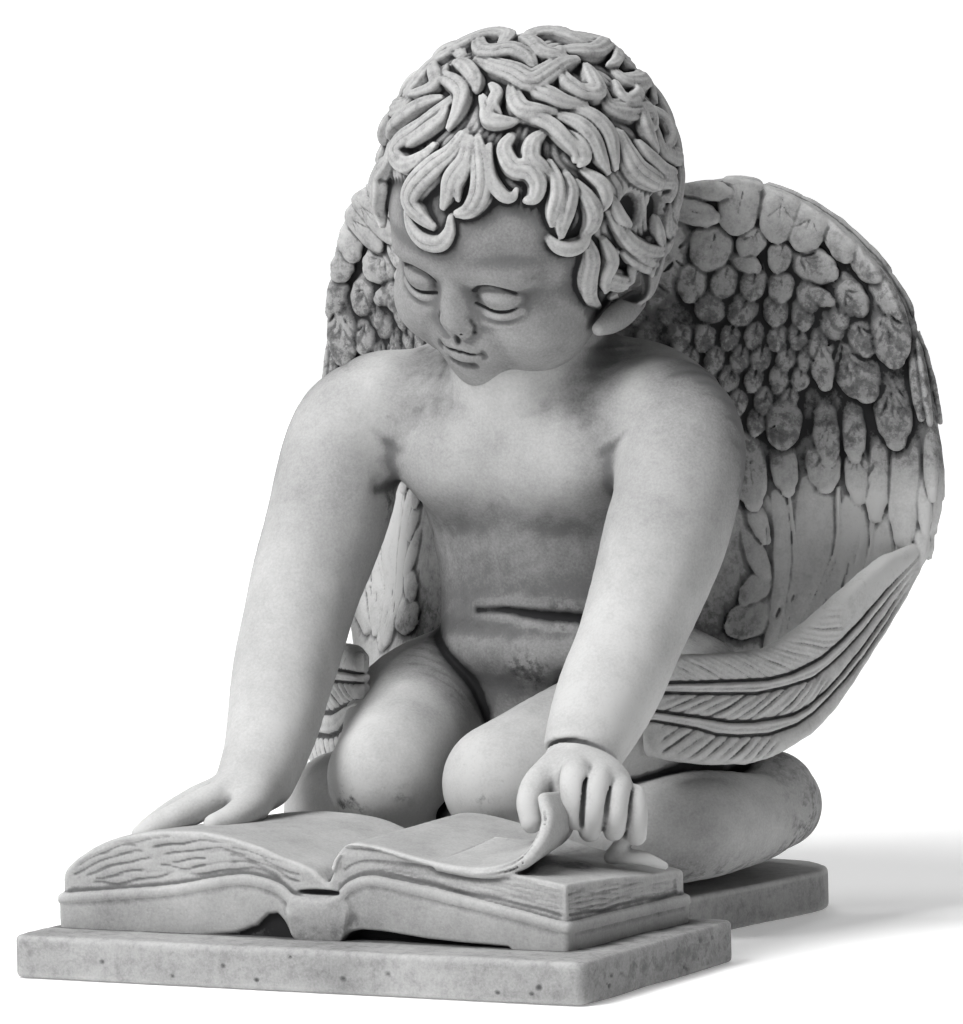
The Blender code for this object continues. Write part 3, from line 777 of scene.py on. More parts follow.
def model_leaves(clay):
    """Lines between the pages, the loose top leaf and the corner that the hand has lifted."""
    for i, level in enumerate((0.14, 0.30, 0.46, 0.62, 0.77, 0.90)):
        left_edge_line(clay, level, 50 + i)
    for i, level in enumerate((0.16, 0.30, 0.43, 0.56, 0.68, 0.80, 0.91)):
        clay.roll(edge_line(level, 0.022, i), carve=True, blend=0.5)
    for stroke in LEFT_STROKES:
        path = smooth_path([(x, BOOK_FRONT + 1.5, z, 0.42) for x, z in stroke], 4)
        path[0, 3] = path[-1, 3] = 0.1
        clay.roll(path, carve=True, blend=0.5)
    for share in np.linspace(0, 1, 64):
        y = -145.0 + share * 97
        run = [(x, float(page_height(x, y))) for x in (3.2, 5.5, 11, 22, 38, 56, 72)]
        rise = (0.4, 1.1, 1.3, 1.0, 0.5, -0.1, -0.9)
        clay.limb([(x, y, z + up, 0.8) for (x, z), up in zip(run, rise)], 4, 1.6)
    gap = [(-0.6, 43.6, 0.5), (1.6, 49.0, 0.9), (4.6, 54.0, 1.1), (10, 56.6, 1.1), (16, 57.0, 0.9),
           (25, 56.2, 0.7), (34, 54.6, 0.3)]
    clay.limb([(x, BOOK_FRONT + 1.3, z, r) for x, z, r in gap], 4, 0.4, True)


def model_curl(clay):
    """The lifted corner: a bundle of leaves that curls up and leans back into the hand."""
    near = np.array(((52, -144, 50.4), (68, -144, 48.9), (80, -143, 49.8), (89, -139, 53.4),
                     (93, -132, 60), (91.5, -122, 68), (83.5, -110, 76)))
    far = np.array(((50, -88, 55.0), (62, -88, 53.6), (72, -88, 54.0), (80, -88, 57.2),
                    (84, -88, 63), (84, -87, 69), (81, -86, 74)))
    for share in np.linspace(0, 1, 20):
        points = smooth_path(near * (1 - share) + far * share, 5)
        bulk = 1.2 + 1.6 * np.sin(np.linspace(0.1, 2.6, len(points)))
        clay.roll(np.column_stack((points, bulk)), blend=1.6)
    for shift in (-1.1, 1.0):
        points = smooth_path(near, 5)[6:-3]
        side = np.gradient(points, axis=0)
        side = np.column_stack((-side[:, 2], 0 * side[:, 0], side[:, 0]))
        side /= np.linalg.norm(side, axis=1)[:, None]
        line = points + side * shift + np.array((-0.6, -2.2, 0.0))
        clay.roll(np.column_stack((line, np.full(len(line), 0.55))), carve=True, blend=0.4)


def book_soil_and_shade(points):
    """A light veil of grime, painted shade under the arches of the cover, round the foot of the spine and
    under the lifting hand; the pages are almost clean.
    """
    x, y, z = points.T
    # Painted shade under the arches of the cover.
    arch = smooth_step((y + 145.2) / 2) * smooth_step((cover_line(x) - 5 - z) / 4)
    arch = arch * smooth_step((96 - x) / 8)
    # Painted shade round the foot of the spine.
    spine_foot_shade = smooth_step((38 - np.abs(x + 4)) / 16) * smooth_step((34 - z) / 14)
    # Painted shade on the page under the hand that lifts the leaf.
    hand = np.sqrt((x - 97) ** 2 + (y + 92) ** 2) / 17
    held = 1.5 * smooth_step(1.35 - hand) * smooth_step((z - 44) / 3) * smooth_step((62 - z) / 6)
    return 0.3 + 1.5 * arch * smooth_step((x + 86) / 10) + 0.7 * spine_foot_shade + held


def book_stain(points):
    return 0.12 + 0.5 * np.maximum(0, book_soil_and_shade(points) - 0.5)


book_clay = model_book()
model_leaves(book_clay)
model_curl(book_clay)
cast("open_book", book_clay, BOOK_FACES, book_soil_and_shade, book_stain)

# %% [markdown]
# ## The child's body
# The body is soft and round, with the folds of a well-fed child: one deep fold across the belly,
# rings at the wrists, knees close behind the book.  Limbs are rolls of clay that taper from
# station to station, each station a place and a radius, and they melt into the trunk at the
# shoulder but keep a sharp crease where skin only touches skin.

# %% Trunk
TRUNK = np.array(((0, 96, 30, 56, 44), (0, 100, 62, 66, 52), (0, 96, 84, 66, 52), (0, 84, 106, 58, 47),
                  (0, 77, 128, 55, 45), (0, 73, 148, 53, 42), (0, 68, 170, 55, 41), (0, 60, 192, 60, 39),
                  (0, 52, 212, 66, 33), (0, 47, 228, 58, 26), (2, 42, 241, 42, 20)), float)
RIGHT_ARM = ((-70, 42, 224, 25), (-81, 35, 212, 27), (-84, 18, 178, 26.5), (-87, 0, 146, 24),
             (-84, -26, 112, 21.8), (-77.5, -50, 90, 19), (-74.5, -66, 76, 16.5))
LEFT_ARM = ((68, 44, 222, 25), (80, 36, 209, 27), (82, 12, 173, 26.5), (79, -14, 136, 22.5),
            (78, -36, 113, 21.5), (77, -54, 96, 18.2), (77, -60, 88, 15.8))
RIGHT_THIGH = ((-42, -11, 70, 25.5), (-46, 14, 79, 28), (-54, 45, 89, 32), (-50, 84, 90, 38))
LEFT_THIGH = ((17, -16, 70, 26), (30, 12, 79, 28), (48, 42, 88, 32), (50, 84, 90, 38))
RIGHT_SHIN = ((-46, -8, 52, 23), (-76, 12, 51, 25), (-86, 42, 51, 24), (-89, 78, 47, 19),
              (-87, 100, 48, 18))
LEFT_SHIN = ((22, -12, 50, 23), (56, 14, 45, 23), (82, 38, 48, 23.5), (90, 76, 47, 19.5),
             (88, 100, 48, 18))
RIGHT_FOOT = ((-86, 100, 53, 21), (-80, 122, 46, 18), (-60, 138, 37, 14), (-44, 144, 33, 11))
LEFT_FOOT = ((88, 100, 53, 21), (82, 122, 46, 18), (62, 138, 37, 14), (46, 144, 33, 11))
NECK = ((2, 58, 216, 38), (3, 46, 240, 34), (6, 38, 262, 34))
FIGURE_FACES = 120000


def press_trunk(clay):
    place = clay.window((-80, 0, 14), (80, 162, 252))
    x, y, z = place[1]
    path = smooth_path(TRUNK, 8)
    cx, cy, half_x, half_y = (np.interp(z, path[:, 2], path[:, i]) for i in (0, 1, 3, 4))
    dx, dy = x - cx, y - cy
    near = np.sqrt((dx / half_x) ** 2 + (dy / half_y) ** 2)
    far = np.sqrt((dx / half_x ** 2) ** 2 + (dy / half_y ** 2) ** 2)
    side = near * (near - 1) / np.maximum(far, 1e-5)
    ends = np.maximum(z - 240, 22 - z)
    clay.press(place, both(side, ends, 14.0), 0)


def shoulder_melt(_x, _y, z):
    """Arms melt into the chest at the shoulder and only touch what lies lower."""
    return 1.5 + 12.0 * smooth_step((z - 165) / 45)


def thigh_melt(_x, y, _z):
    """Thighs melt into the seat and only touch each other at the knees."""
    return 1.5 + 10.0 * smooth_step((y - 45) / 40)


def model_body(clay):
    press_trunk(clay)
    clay.limb(NECK, 4, 16)
    for side, y, z in ((-1, 50, 226), (1, 50, 224)):
        clay.lump((side * 48, y, z), (42, 24, 20), blend=14)
        clay.lump((side * 27, 30, 203), (25, 15, 19), blend=14)
        clay.lump((side * 30, 116, 78), (38, 38, 42), blend=8)
        blade = [(side * x, y, z, r) for x, y, z, r in ((26, 58, 232, 21), (40, 64, 238, 18),
                                                       (54, 68, 236, 16), (68, 70, 230, 13))]
        clay.limb(blade, 5, 12)
    clay.lump((0, 66, 121), (50, 37, 21), blend=4)
    for stations, blend in ((RIGHT_ARM, shoulder_melt), (LEFT_ARM, shoulder_melt),
                            (RIGHT_THIGH, thigh_melt), (LEFT_THIGH, thigh_melt),
                            (RIGHT_SHIN, 2.0), (RIGHT_FOOT, 5.0), (LEFT_SHIN, 2.0), (LEFT_FOOT, 5.0)):
        clay.limb(stations, 6, blend)
    clay.lump((0, 70, 36), (80, 78, 26), blend=4)
    fold_front(clay)


# Creases of the front as x, height and radius, with their depth and melting: the deep belly fold
# and both armpits.
FRONT_FOLDS = (
    (((-20, 138.4, 0.3), (-6, 139.2, 1.0), (3, 138.2, 1.7), (13, 137, 2.1), (24, 136.2, 2.3),
      (34, 134.8, 2.1), (46, 133.6, 1.5), (54, 133, 0.6)), 0.2, 3.0),
    (((-57, 192, 1.0), (-53, 183, 2.6), (-50, 172, 1.0)), -2.0, 7.0),
    (((57, 190, 1.0), (53, 182, 2.6), (51, 172, 1.0)), -2.0, 7.0))


def fold_front(clay):
    for rows, depth, blend in FRONT_FOLDS:
        path = smooth_path(rows, 5)
        starts = np.column_stack((path[:, 0], np.full(len(path), 0.0), path[:, 1]))
        skin = first_skin(clay, starts, np.array((0, 0.5, 0)), 150)
        clay.roll(np.column_stack((skin[:, 0], skin[:, 1] + depth, skin[:, 2], path[:, 2])), blend, True)


def model_feet(clay):
    """Toes, at the back, where both feet turn in behind the seat."""
    for side in (-1, 1):
        for i in range(5):
            out = 5.6 - 0.7 * i
            clay.roll(((side * (50 - 2 * i), 146 - 3.2 * i, 36 - 4.6 * i, out),
                       (side * (40 - 1.4 * i), 150 - 3.4 * i, 35 - 4.6 * i, out * 0.9)), blend=1.2)


# %% Hands
RIGHT_WRIST = ((-77, -62, 78, 15.5), (-76, -74, 72, 13.5), (-77, -84, 67, 11))
RIGHT_FINGERS = (
    ((-78, -86, 69.5, 7.8), (-84, -97, 66.5, 7.0), (-91, -106, 62, 6.4), (-98, -113, 58, 5.8),
     (-103, -117, 54.8, 5.0)),
    ((-84, -80, 69.5, 7.6), (-92, -89, 66, 7.0), (-100, -97, 61, 6.2), (-108, -103, 55, 5.2)),
    ((-88, -73, 68.5, 7.2), (-97, -80, 64.5, 6.6), (-105, -86, 59.5, 5.8), (-112, -90, 53.5, 4.9)),
    ((-90, -66, 66.5, 6.8), (-98, -70, 63, 6.0), (-105, -73, 58.5, 5.2), (-111, -75, 53, 4.4)))
RIGHT_THUMB = ((-68, -82, 68, 8.2), (-65, -94, 65, 7.2), (-66, -105, 62, 6.2), (-70, -114, 60, 4.6))


def model_right_hand(clay):
    """A flat hand, palm down on the left page, the thumb set apart from the fingers."""
    clay.limb(RIGHT_WRIST, 4, 3)
    clay.lump((-81, -80, 66), (17, 15, 9.5), blend=5)
    clay.roll(((-70, -76, 72, 10), (-67, -88, 66, 8.5)), blend=4)
    for stations in RIGHT_FINGERS:
        clay.limb(stations, 4, 1.2)
    clay.limb(RIGHT_THUMB, 4, 2.5)
    crease = [(-77 + 17.5 * math.cos(a), -64 - 12.8 * math.sin(a), 79.5 + 11.5 * math.sin(a), 0.9)
              for a in np.radians(np.arange(60, 171, 10))]
    clay.roll(crease, carve=True, blend=1.4)


LEFT_FINGERS = (
    ((86, -82, 84.5, 6.8), (88.5, -90.5, 81.5, 6.4), (90.6, -95, 74, 5.8), (91, -95, 66.5, 5.1)),
    ((94.5, -80, 82, 6.6), (97.2, -88, 77.5, 6.0), (97.8, -92, 69, 5.5), (95.4, -91, 61, 4.8)),
    ((101, -76, 77.5, 6.2), (103.6, -82.5, 73.5, 5.5), (104.6, -85.5, 66.5, 5.0), (103, -84, 60.5, 4.5)),
    ((105.5, -69.5, 73, 5.6), (108.6, -74.5, 69, 5.0), (110, -77, 63, 4.6), (109.4, -75.5, 57.5, 4.0)))
LEFT_THUMB = ((73, -76, 84, 8.5), (69.5, -86, 79, 7.0), (69.5, -94, 72, 6.0), (72, -98, 64.5, 4.8))
# Where the heel of the hand meets the page.
LEFT_HEEL = (
    ((106, -74, 60, 3.0), (102, -76, 53, 3.4), (98, -76, 49, 3.0)),
    ((97, -76, 47.5, 2.2), (106, -75, 48.5, 3.2), (113, -73, 47.5, 2.6), (119, -69, 44.5, 1.6)))


def model_left_hand(clay):
    """A half-closed hand that pinches the lifted leaf between thumb and first finger."""
    clay.lump((82, -73, 79.5), (18.5, 15.5, 14.5), blend=3)
    clay.lump((92, -74, 76), (14, 14, 13), blend=5)
    for stations in LEFT_FINGERS:
        clay.limb(stations, 4, 0.8)
    for one, two in zip(LEFT_FINGERS, LEFT_FINGERS[1:]):
        between = (np.array(one) + np.array(two))[:, :3] / 2
        outward = between - np.array((84, -62, 70))
        outward /= np.linalg.norm(outward, axis=1)[:, None]
        between = between + outward * 4.0
        clay.limb(np.column_stack((between, (0.4, 1.0, 1.2, 1.3))), 4, 0.8, True)
    clay.limb(LEFT_THUMB, 4, 2.0)
    ring = [(79 + 17.6 * math.cos(a), -60 - 12.4 * math.sin(a), 86.5 + 9.6 * math.sin(a), 1.1)
            for a in np.radians(np.arange(-10, 181, 8))]
    clay.roll(ring, carve=True, blend=1.6)
    for stations in LEFT_HEEL:
        clay.limb(stations, 4, 2)


def model_figure():
    clay = Clay((-126, -128, 10), (126, 172, 282), 1.0, 7.0)
    model_body(clay)
    model_feet(clay)
    model_right_hand(clay)
    model_left_hand(clay)
    x, y, z = clay.whole()[1]
    clay.field += (0.35 * waves(x, y, z, 45, 31) + 0.10 * waves(x, y, z, 9, 32)).astype(np.float32)
    return clay


# Where dirt clings to the skin: x, y, z, reach and strength.
SMUDGES = ((-50, -36, 61, 8, 1.0), (-44, -38, 58, 7, 0.9), (-57, -33, 58, 6, 0.8), (20, -40, 66, 4, 0.6),
           (24, 31, 137, 9, 0.7), (-86, -62, 76, 8, 0.6), (84, -66, 86, 8, 0.4), (-56, 30, 184, 9, 0.9),
           (6, 30, 110, 12, 0.8), (-20, -34, 62, 9, 0.9), (38, 30, 138, 8, 0.6), (92, 92, 40, 22, 0.8))


def figure_soil_and_light(points):
    """Darker at the back and near the ground, grime and painted shade on the trunk under the head, painted
    shade under the wings, painted light on the fronts of the limbs and painted shade on the upper arms.
    """
    x, y, z = points.T
    soil_and_shading = 0.75 * smooth_step((y - 45) / 60) + 1.5 * smooth_step((44 - z) / 22)
    # Grime and painted shade under the bowed head darken the trunk.
    trunk = smooth_step((64 - np.abs(x)) / 14) * smooth_step((y - 8) / 16)
    soil_and_shading = np.maximum(soil_and_shading, trunk * np.interp(z, (88, 100, 135, 170, 240), (0.3, 1.5, 1.7, 1.2, 1.0)))
    # Painted shade under the long feathers of the wings, on the hips and thighs.
    under_wing = smooth_step((np.abs(x) - 66) / 12) * smooth_step((y - 12) / 30)
    soil_and_shading = np.maximum(soil_and_shading, 1.7 * under_wing * smooth_step((z - 62) / 10))
    # Painted light on the fronts of the thighs and forearms, painted shade on the upper arms and shoulders.
    limbs = smooth_step((4 - y) / 24) * np.interp(z, (50, 75, 110, 150, 190), (0.9, 1.0, 0.9, 0.6, 0.0))
    upper = 0.5 * smooth_step((z - 165) / 30) * smooth_step((np.abs(x) - 60) / 10)
    return soil_and_shading + upper - 0.9 * limbs


def figure_stain(points):
    """Blotches lie in a few smudges and low at the back."""
    x, y, z = points.T
    stain = 0.08 + 0.5 * smooth_step((y - 60) / 60) + 0.5 * smooth_step((40 - z) / 14)
    patchy = 0.5 + 0.9 * waves(x, y, z, 7, 41)
    for cx, cy, cz, reach, strength in SMUDGES:
        away = np.sqrt((x - cx) ** 2 + (y - cy) ** 2 + (z - cz) ** 2)
        stain = stain + 1.9 * strength * np.clip(patchy + 0.3, 0, 1) * smooth_step(1.3 - away / reach)
    return np.clip(stain, 0, 2.2)


cast("figure", model_figure(), FIGURE_FACES, figure_soil_and_light, figure_stain)

# %% [markdown]
# ## The head
# The head is bowed over the book, turned a little to the child's right and leaned.  The face is a
# plain ideal one: a round brow, full cheeks, a short nose, closed lips, and lids lowered over the
# eyes.  It is modelled in the head's own axes, with the face towards -y and the crown up, and each
# shape is then turned with the head.

# %% Axes of the head
SKULL = np.array((8.0, 30.0, 309.0))
HEAD_TURN = -12.0
HEAD_BOW = 25.0
HEAD_LEAN = 13.0
head_axes = np.array(Matrix.Rotation(math.radians(HEAD_TURN), 3, "Z")
                     @ Matrix.Rotation(math.radians(HEAD_BOW), 3, "X")
                     @ Matrix.Rotation(math.radians(HEAD_LEAN), 3, "Y"))


def on_head(points):
    """Points of the head's own axes, with or without a radius, in the drawing."""
    points = np.array(points, float)
    points[:, :3] = points[:, :3] @ head_axes.T + SKULL
    return points


def head_lump(clay, centre, half, blend=0.0, carve=False):
    clay.lump(on_head([centre])[0], half, head_axes, blend, carve)


def head_roll(clay, points, blend):
    clay.roll(on_head(smooth_path(points, 5)), blend)


def mirrored(points, side):
    return [(side * p[0],) + tuple(p[1:]) for p in points]


# %% Skull, cheeks, jaw and ears
FACE_MASSES = (
    # centre, half sizes, and how far each melts into what is there
    ((0, 6, 8), (55, 60, 57), 0), ((0, -21, 14), (45, 35, 35), 12), ((0, -17, -22), (43, 36, 37), 12),
    ((-25, -29.5, -29), (21.5, 20, 20.5), 10), ((25, -29.5, -29), (21.5, 20, 20.5), 10),
    ((0, -10, -41), (36, 36, 25), 10), ((0, -38, -51), (14, 12.5, 11), 9), ((0, -42, -36), (17, 11.5, 12), 9))


EAR_RIM = ((55, -1, -20, 1.8), (57, -1.5, -10, 2.3), (58, 4, -2, 2.6), (58.5, 13, -1.5, 2.6),
           (58, 19, -9, 2.6), (57, 17, -19, 2.4), (56, 10, -27, 3.0), (55, 4, -28, 3.2))
EAR_INNER = ((58, 12, -5, 1.4), (58.5, 14, -12, 1.6), (58, 10, -19, 1.6))
EAR_LOBE = ((52, -23, -29.5, 3.0), (52.5, -15, -30.5, 5.0), (51.5, -5, -31.5, 6.2), (50, 7, -33, 5.0))


def model_face(clay):
    for centre, half, blend in FACE_MASSES:
        head_lump(clay, centre, half, blend)
    for side in (-1, 1):
        head_lump(clay, (side * 20, -60.5, -8), (14, 9, 7.5), 9, True)
        head_lump(clay, (side * 19, -46.6, 4), (14, 6, 4.5), 8)
        head_lump(clay, (side * 54, 9, -15), (5.5, 10.5, 14), 2)
        head_roll(clay, mirrored(EAR_RIM, side), 1.5)
        head_lump(clay, (side * 59.5, 8, -14), (3.6, 6.0, 8.5), 2.0, True)
        head_roll(clay, mirrored(EAR_INNER, side), 1.5)
        head_roll(clay, mirrored(EAR_LOBE, side), 1.2)


def on_skin(clay, rows, depth):
    """Follow the face: rows of x, z, radius become places at a depth under the skin."""
    path = smooth_path(rows, 5)
    starts = on_head(np.column_stack((path[:, 0], np.full(len(path), -75.0), path[:, 1])))
    inward = head_axes[:, 1]
    skin = first_skin(clay, starts, inward * 0.4, 120) + inward * depth
    return np.column_stack((skin, path[:, 2]))


def crease(clay, path, depth, blend, both_sides):
    """A line carved along the skin, and its mirror image on the other side of the face."""
    for side in (1, -1) if both_sides else (1,):
        rows = [(side * x, z, radius) for x, z, radius in path]
        clay.roll(on_skin(clay, rows, depth), blend, True)


# %% Eyes, nose and mouth
# Rolls as x, y, z and radius in the head's own axes; the lip rows are mirrored across x = 0.
LOWER_LID = ((10.6, -47.4, -13.0, 0.5), (14.5, -50.2, -15.2, 0.7), (20, -51.2, -16.0, 0.8),
             (25.5, -49.2, -15.2, 0.7), (29.5, -46.0, -13.2, 0.5))
NOSE_BRIDGE = ((0, -45, 1, 5.0), (0, -48.0, -7, 4.4), (0, -51.4, -14, 4.4), (0, -53.6, -19, 4.8),
               (0, -54.0, -21.4, 5.3))
UPPER_LIP = ((-10, -49.6, -36.2, 0.8), (-6, -51.8, -34.8, 1.8), (-2.4, -53.0, -33.8, 2.2),
             (0, -52.8, -34.6, 1.9))
LOWER_LIP = ((-7.5, -49.6, -38.4, 1.0), (-3.6, -51.8, -39.6, 2.3), (0, -52.4, -40.0, 2.6))


def model_eye(clay, side):
    """A ball in its socket, an upper lid that covers most of it, and a soft lower lid."""
    head_lump(clay, (side * 19.5, -41.0, -9.5), (10.8, 11.4, 9.6), 3.0)
    head_lump(clay, (side * 19.5, -41.6, -6.6), (11.8, 12.0, 7.4), 1.6)
    head_roll(clay, mirrored(LOWER_LID, side), 3.0)


def model_nose(clay):
    head_roll(clay, NOSE_BRIDGE, 7)
    for side in (-1, 1):
        head_lump(clay, (side * 5.6, -50.6, -22.4), (3.7, 4.6, 3.6), 3.0)
        head_lump(clay, (side * 2.8, -53.8, -26.0), (1.5, 2.4, 1.2), 1.0, True)


def model_mouth(clay):
    """Closed lips: each row of stations up to the middle, then back in mirror image."""
    for lip in (UPPER_LIP, LOWER_LIP):
        head_roll(clay, list(lip) + mirrored(lip[-2::-1], -1), 2.6)


# Fine lines as x, z and radius, then depth, melting, and whether both sides of the face have one:
# lid edge, lid fold, wing of the nose, between the lips, above them, under them, mouth corner.
CREASES = (
    (((9.6, -11.2, 0.4), (13.5, -12.6, 0.8), (19.5, -13.4, 0.9), (25, -12.8, 0.8), (28.6, -11.4, 0.3)),
     0.3, 0.5, True),
    (((10, -5.0, 0.3), (14, -1.6, 0.6), (20, 0.0, 0.7), (25.5, -1.2, 0.6), (29, -4.0, 0.2)),
     0.0, 1.6, True),
    (((8.4, -19.6, 0.3), (9.4, -22.6, 0.6), (8.8, -25.6, 0.4)), -0.3, 1.8, True),
    (((-10.4, -36.6, 0.4), (-5.4, -37.0, 0.7), (-1.8, -36.4, 0.7), (0, -36.9, 0.7), (1.8, -36.4, 0.7),
      (5.4, -37.0, 0.7), (10.4, -36.6, 0.4)), 0.2, 0.6, False),
    (((0, -27.8, 0.6), (0, -31.6, 1.1)), -0.5, 2.2, False),
    (((-5.5, -44.2, 0.8), (0, -45.0, 1.3), (5.5, -44.2, 0.8)), -0.7, 4.0, False),
    (((11.4, -35.6, 0.5), (12.0, -37.0, 0.8), (11.4, -38.4, 0.5)), -1.1, 3.0, True))


# %% [markdown]
# ## The curls
# The hair is a cap with short thick locks laid over it.  Each lock is a flat ribbon with two to
# four strands on it that spread in the middle, draw together at the tip and end in a hook.  The
# locks that frame the face come from a list; the rest fill the sides and the back of the head.
# A lock is given by its width, its strands and a row of places on the head: degrees down from the
# crown and degrees round it, -90 being the front.

# %% Where the locks lie
# A helper script worked these rows out from points marked by eye, so they are not set by hand.
LOCKS = (
    (11, 3, ((42, -86), (50, -89), (57, -96), (66, -103), (72, -104), (76, -98), (79, -91))),
    (8, 2, ((77, -108), (82, -103), (85, -96), (84, -88), (79, -84), (73, -84))),
    (8, 2, ((43, -82), (52, -81), (59, -85), (65, -86), (71, -88))),
    (10, 3, ((43, -77), (51, -73), (59, -71), (65, -72), (70, -76), (72, -82))),
    (6, 2, ((47, -80), (55, -79), (61, -82), (67, -81))),
    (6, 2, ((45, -69), (51, -69), (58, -67), (64, -62), (65, -58), (62, -56))),
    (9, 3, ((42, -57), (47, -61), (54, -57), (56, -50), (61, -47), (66, -49), (67, -53))),
    (8, 3, ((43, -39), (46, -46), (52, -48), (56, -44), (61, -41))),
    (7, 2, ((54, -40), (61, -39), (67, -40), (73, -43), (78, -44))),
    (8, 3, ((60, -34), (66, -34), (72, -37), (78, -40), (83, -41))),
    (8, 3, ((64, -31), (71, -28), (77, -27), (82, -29), (85, -33))),
    (7, 2, ((82, -46), (86, -43), (88, -38), (87, -33), (82, -30))),
    (7, 2, ((33, -57), (36, -45), (41, -35), (48, -30), (54, -27), (57, -29))),
    (8, 3, ((37, -30), (44, -20), (51, -17), (59, -17), (66, -16))),
    (8, 3, ((36, -23), (43, -11), (52, -8), (59, -10), (66, -12))),
    (6, 2, ((45, -27), (51, -24), (57, -24), (59, -28))),
    (7, 2, ((61, -26), (68, -21), (74, -21), (78, -24))),
    (10, 3, ((55, 0), (63, -3), (71, -2), (80, 6), (83, 9))),
    (7, 2, ((63, 7), (70, 7), (78, 12), (87, 25))),
    (7, 2, ((56, 32), (57, 18), (64, 13), (72, 14))),
    (6, 2, ((62, 34), (70, 35), (75, 30), (74, 20))),
    (7, 2, ((42, 26), (46, 16), (50, 17), (52, 28), (50, 35))),
    (6, 2, ((45, 74), (49, 69), (41, 44), (37, 35))),
    (9, 3, ((15, 32), (23, 38), (33, 47), (46, 73), (43, 78), (37, 87))),
    (9, 3, ((12, 109), (8, 60), (12, 11), (18, 17), (18, 40))),
    (10, 3, ((31, 153), (13, -165), (7, -124), (3, -57), (10, -19), (17, -25))),
    (12, 4, ((14, -143), (12, -94), (16, -52), (22, -37), (21, -18), (21, 8), (25, 26))),
    (9, 3, ((29, 26), (33, 13), (38, 4), (35, -3), (29, -4))),
    (8, 2, ((22, 2), (28, -8), (35, -6), (40, 3))),
    (9, 3, ((19, -55), (27, -54), (33, -49), (35, -39), (37, -28))),
    (9, 3, ((22, -22), (26, -34), (30, -28), (35, -20), (40, -8))),
    (7, 2, ((26, -84), (31, -75), (36, -71), (37, -62), (37, -53))),
    (6, 2, ((20, -81), (25, -69), (30, -70), (34, -64))),
    (8, 3, ((24, -157), (19, -128), (21, -98), (25, -90))),
    (8, 2, ((28, -156), (28, -136), (26, -115), (28, -100), (35, -95), (42, -96))),
    (9, 3, ((30, -108), (38, -111), (46, -115), (55, -123), (60, -123), (61, -113), (55, -104), (49, -100))),
    (6, 2, ((33, -111), (39, -104), (45, -108), (52, -115), (55, -118))),
    (7, 2, ((42, -179), (33, -156), (31, -132), (37, -135), (48, -153))),
    (7, 2, ((44, -176), (47, -171), (52, -166), (56, -162))),
    (8, 3, ((33, 158), (36, 169), (40, 177), (42, -178))),
    (7, 2, ((33, -119), (39, -126), (49, -134), (57, -139), (61, -139))),
    (7, 2, ((58, -160), (62, -157), (67, -153), (70, -151))),
    (8, 3, ((62, -137), (66, -130), (75, -135), (81, -133), (91, -138), (97, -135))),
    (7, 2, ((76, -147), (81, -144), (86, -141), (91, -138))),
    (8, 3, ((87, -31), (95, -30), (104, -32), (114, -31), (126, -24))),
    (7, 2, ((90, -24), (99, -22), (106, -25), (116, -23))),
    (8, 3, ((79, -20), (88, -17), (97, -12), (106, -2), (115, 16), (112, 25), (101, 18))),
    (6, 2, ((75, -17), (82, -17), (89, -12))),
    (6, 2, ((94, 4), (101, 3), (113, 12))),
    (8, 2, ((100, -15), (109, -6), (123, 16), (119, 19))),
)
HAIR_HOLLOWS = ((85, -8), (93, 7), (121, -6))     # deep gaps behind the ear, degrees as above
HAIR_MIDDLE = np.array((-2.2, 10.0, 12.5))
HAIR_HALF = np.array((63.5, 67.0, 65.5))
CAP_DEPTH = 2.6                 # how far the bare cap lies under the locks
LOCK_OPENING = 98.0             # degrees of a lock's round section that its strands cover
HEAD_FACES = 195000
HAIRLINE_TILT = 42.0            # degrees that the hairline drops from the brow to the nape


def around_head(polar, azimuth):
    """Directions on a ball for degrees down from the crown and degrees round it."""
    p, a = np.radians(polar), np.radians(azimuth)
    return np.stack((np.sin(p) * np.cos(a), np.sin(p) * np.sin(a), np.cos(p)), axis=-1)


# Rings of filling locks: degrees down from the crown, and how many to a ring.
LOCK_RINGS = ((12, 5), (26, 9), (40, 13), (54, 16), (68, 19), (82, 20), (96, 19), (110, 17), (124, 14))


def fill_locks():
    """Locks for the sides and the back, where none of the set ones lies near."""
    set_ones = np.vstack([around_head(*np.array(row[2], float).T) for row in LOCKS])
    dice = np.random.default_rng(5)
    more = []
    for polar, count in LOCK_RINGS:
        for k in range(count):
            azimuth = 360 * (k + dice.uniform(-0.15, 0.15)) / count + polar
            start = polar + dice.uniform(-3, 3)
            bend = dice.choice((-1, 1)) * 7.0 / max(0.35, math.sin(math.radians(start + 10)))
            row = [(start, azimuth), (start + 7, azimuth + bend), (start + 14, azimuth + 0.2 * bend),
                   (start + 20, azimuth - bend), (start + 25, azimuth - 0.9 * bend), (start + 26, azimuth)]
            spots = around_head(*np.array(row).T)
            front = min(abs((spot[1] + 270) % 360 - 180) for spot in row)
            if polar > 40 and front < 62 or polar > 100 and front < 92:
                continue
            near = np.degrees(np.arccos(np.clip(spots @ set_ones.T, -1, 1))).min(axis=1)
            if np.median(near) < 5.0:
                continue
            more.append((9.5 + dice.uniform(-1, 1), 4, row))
    return more


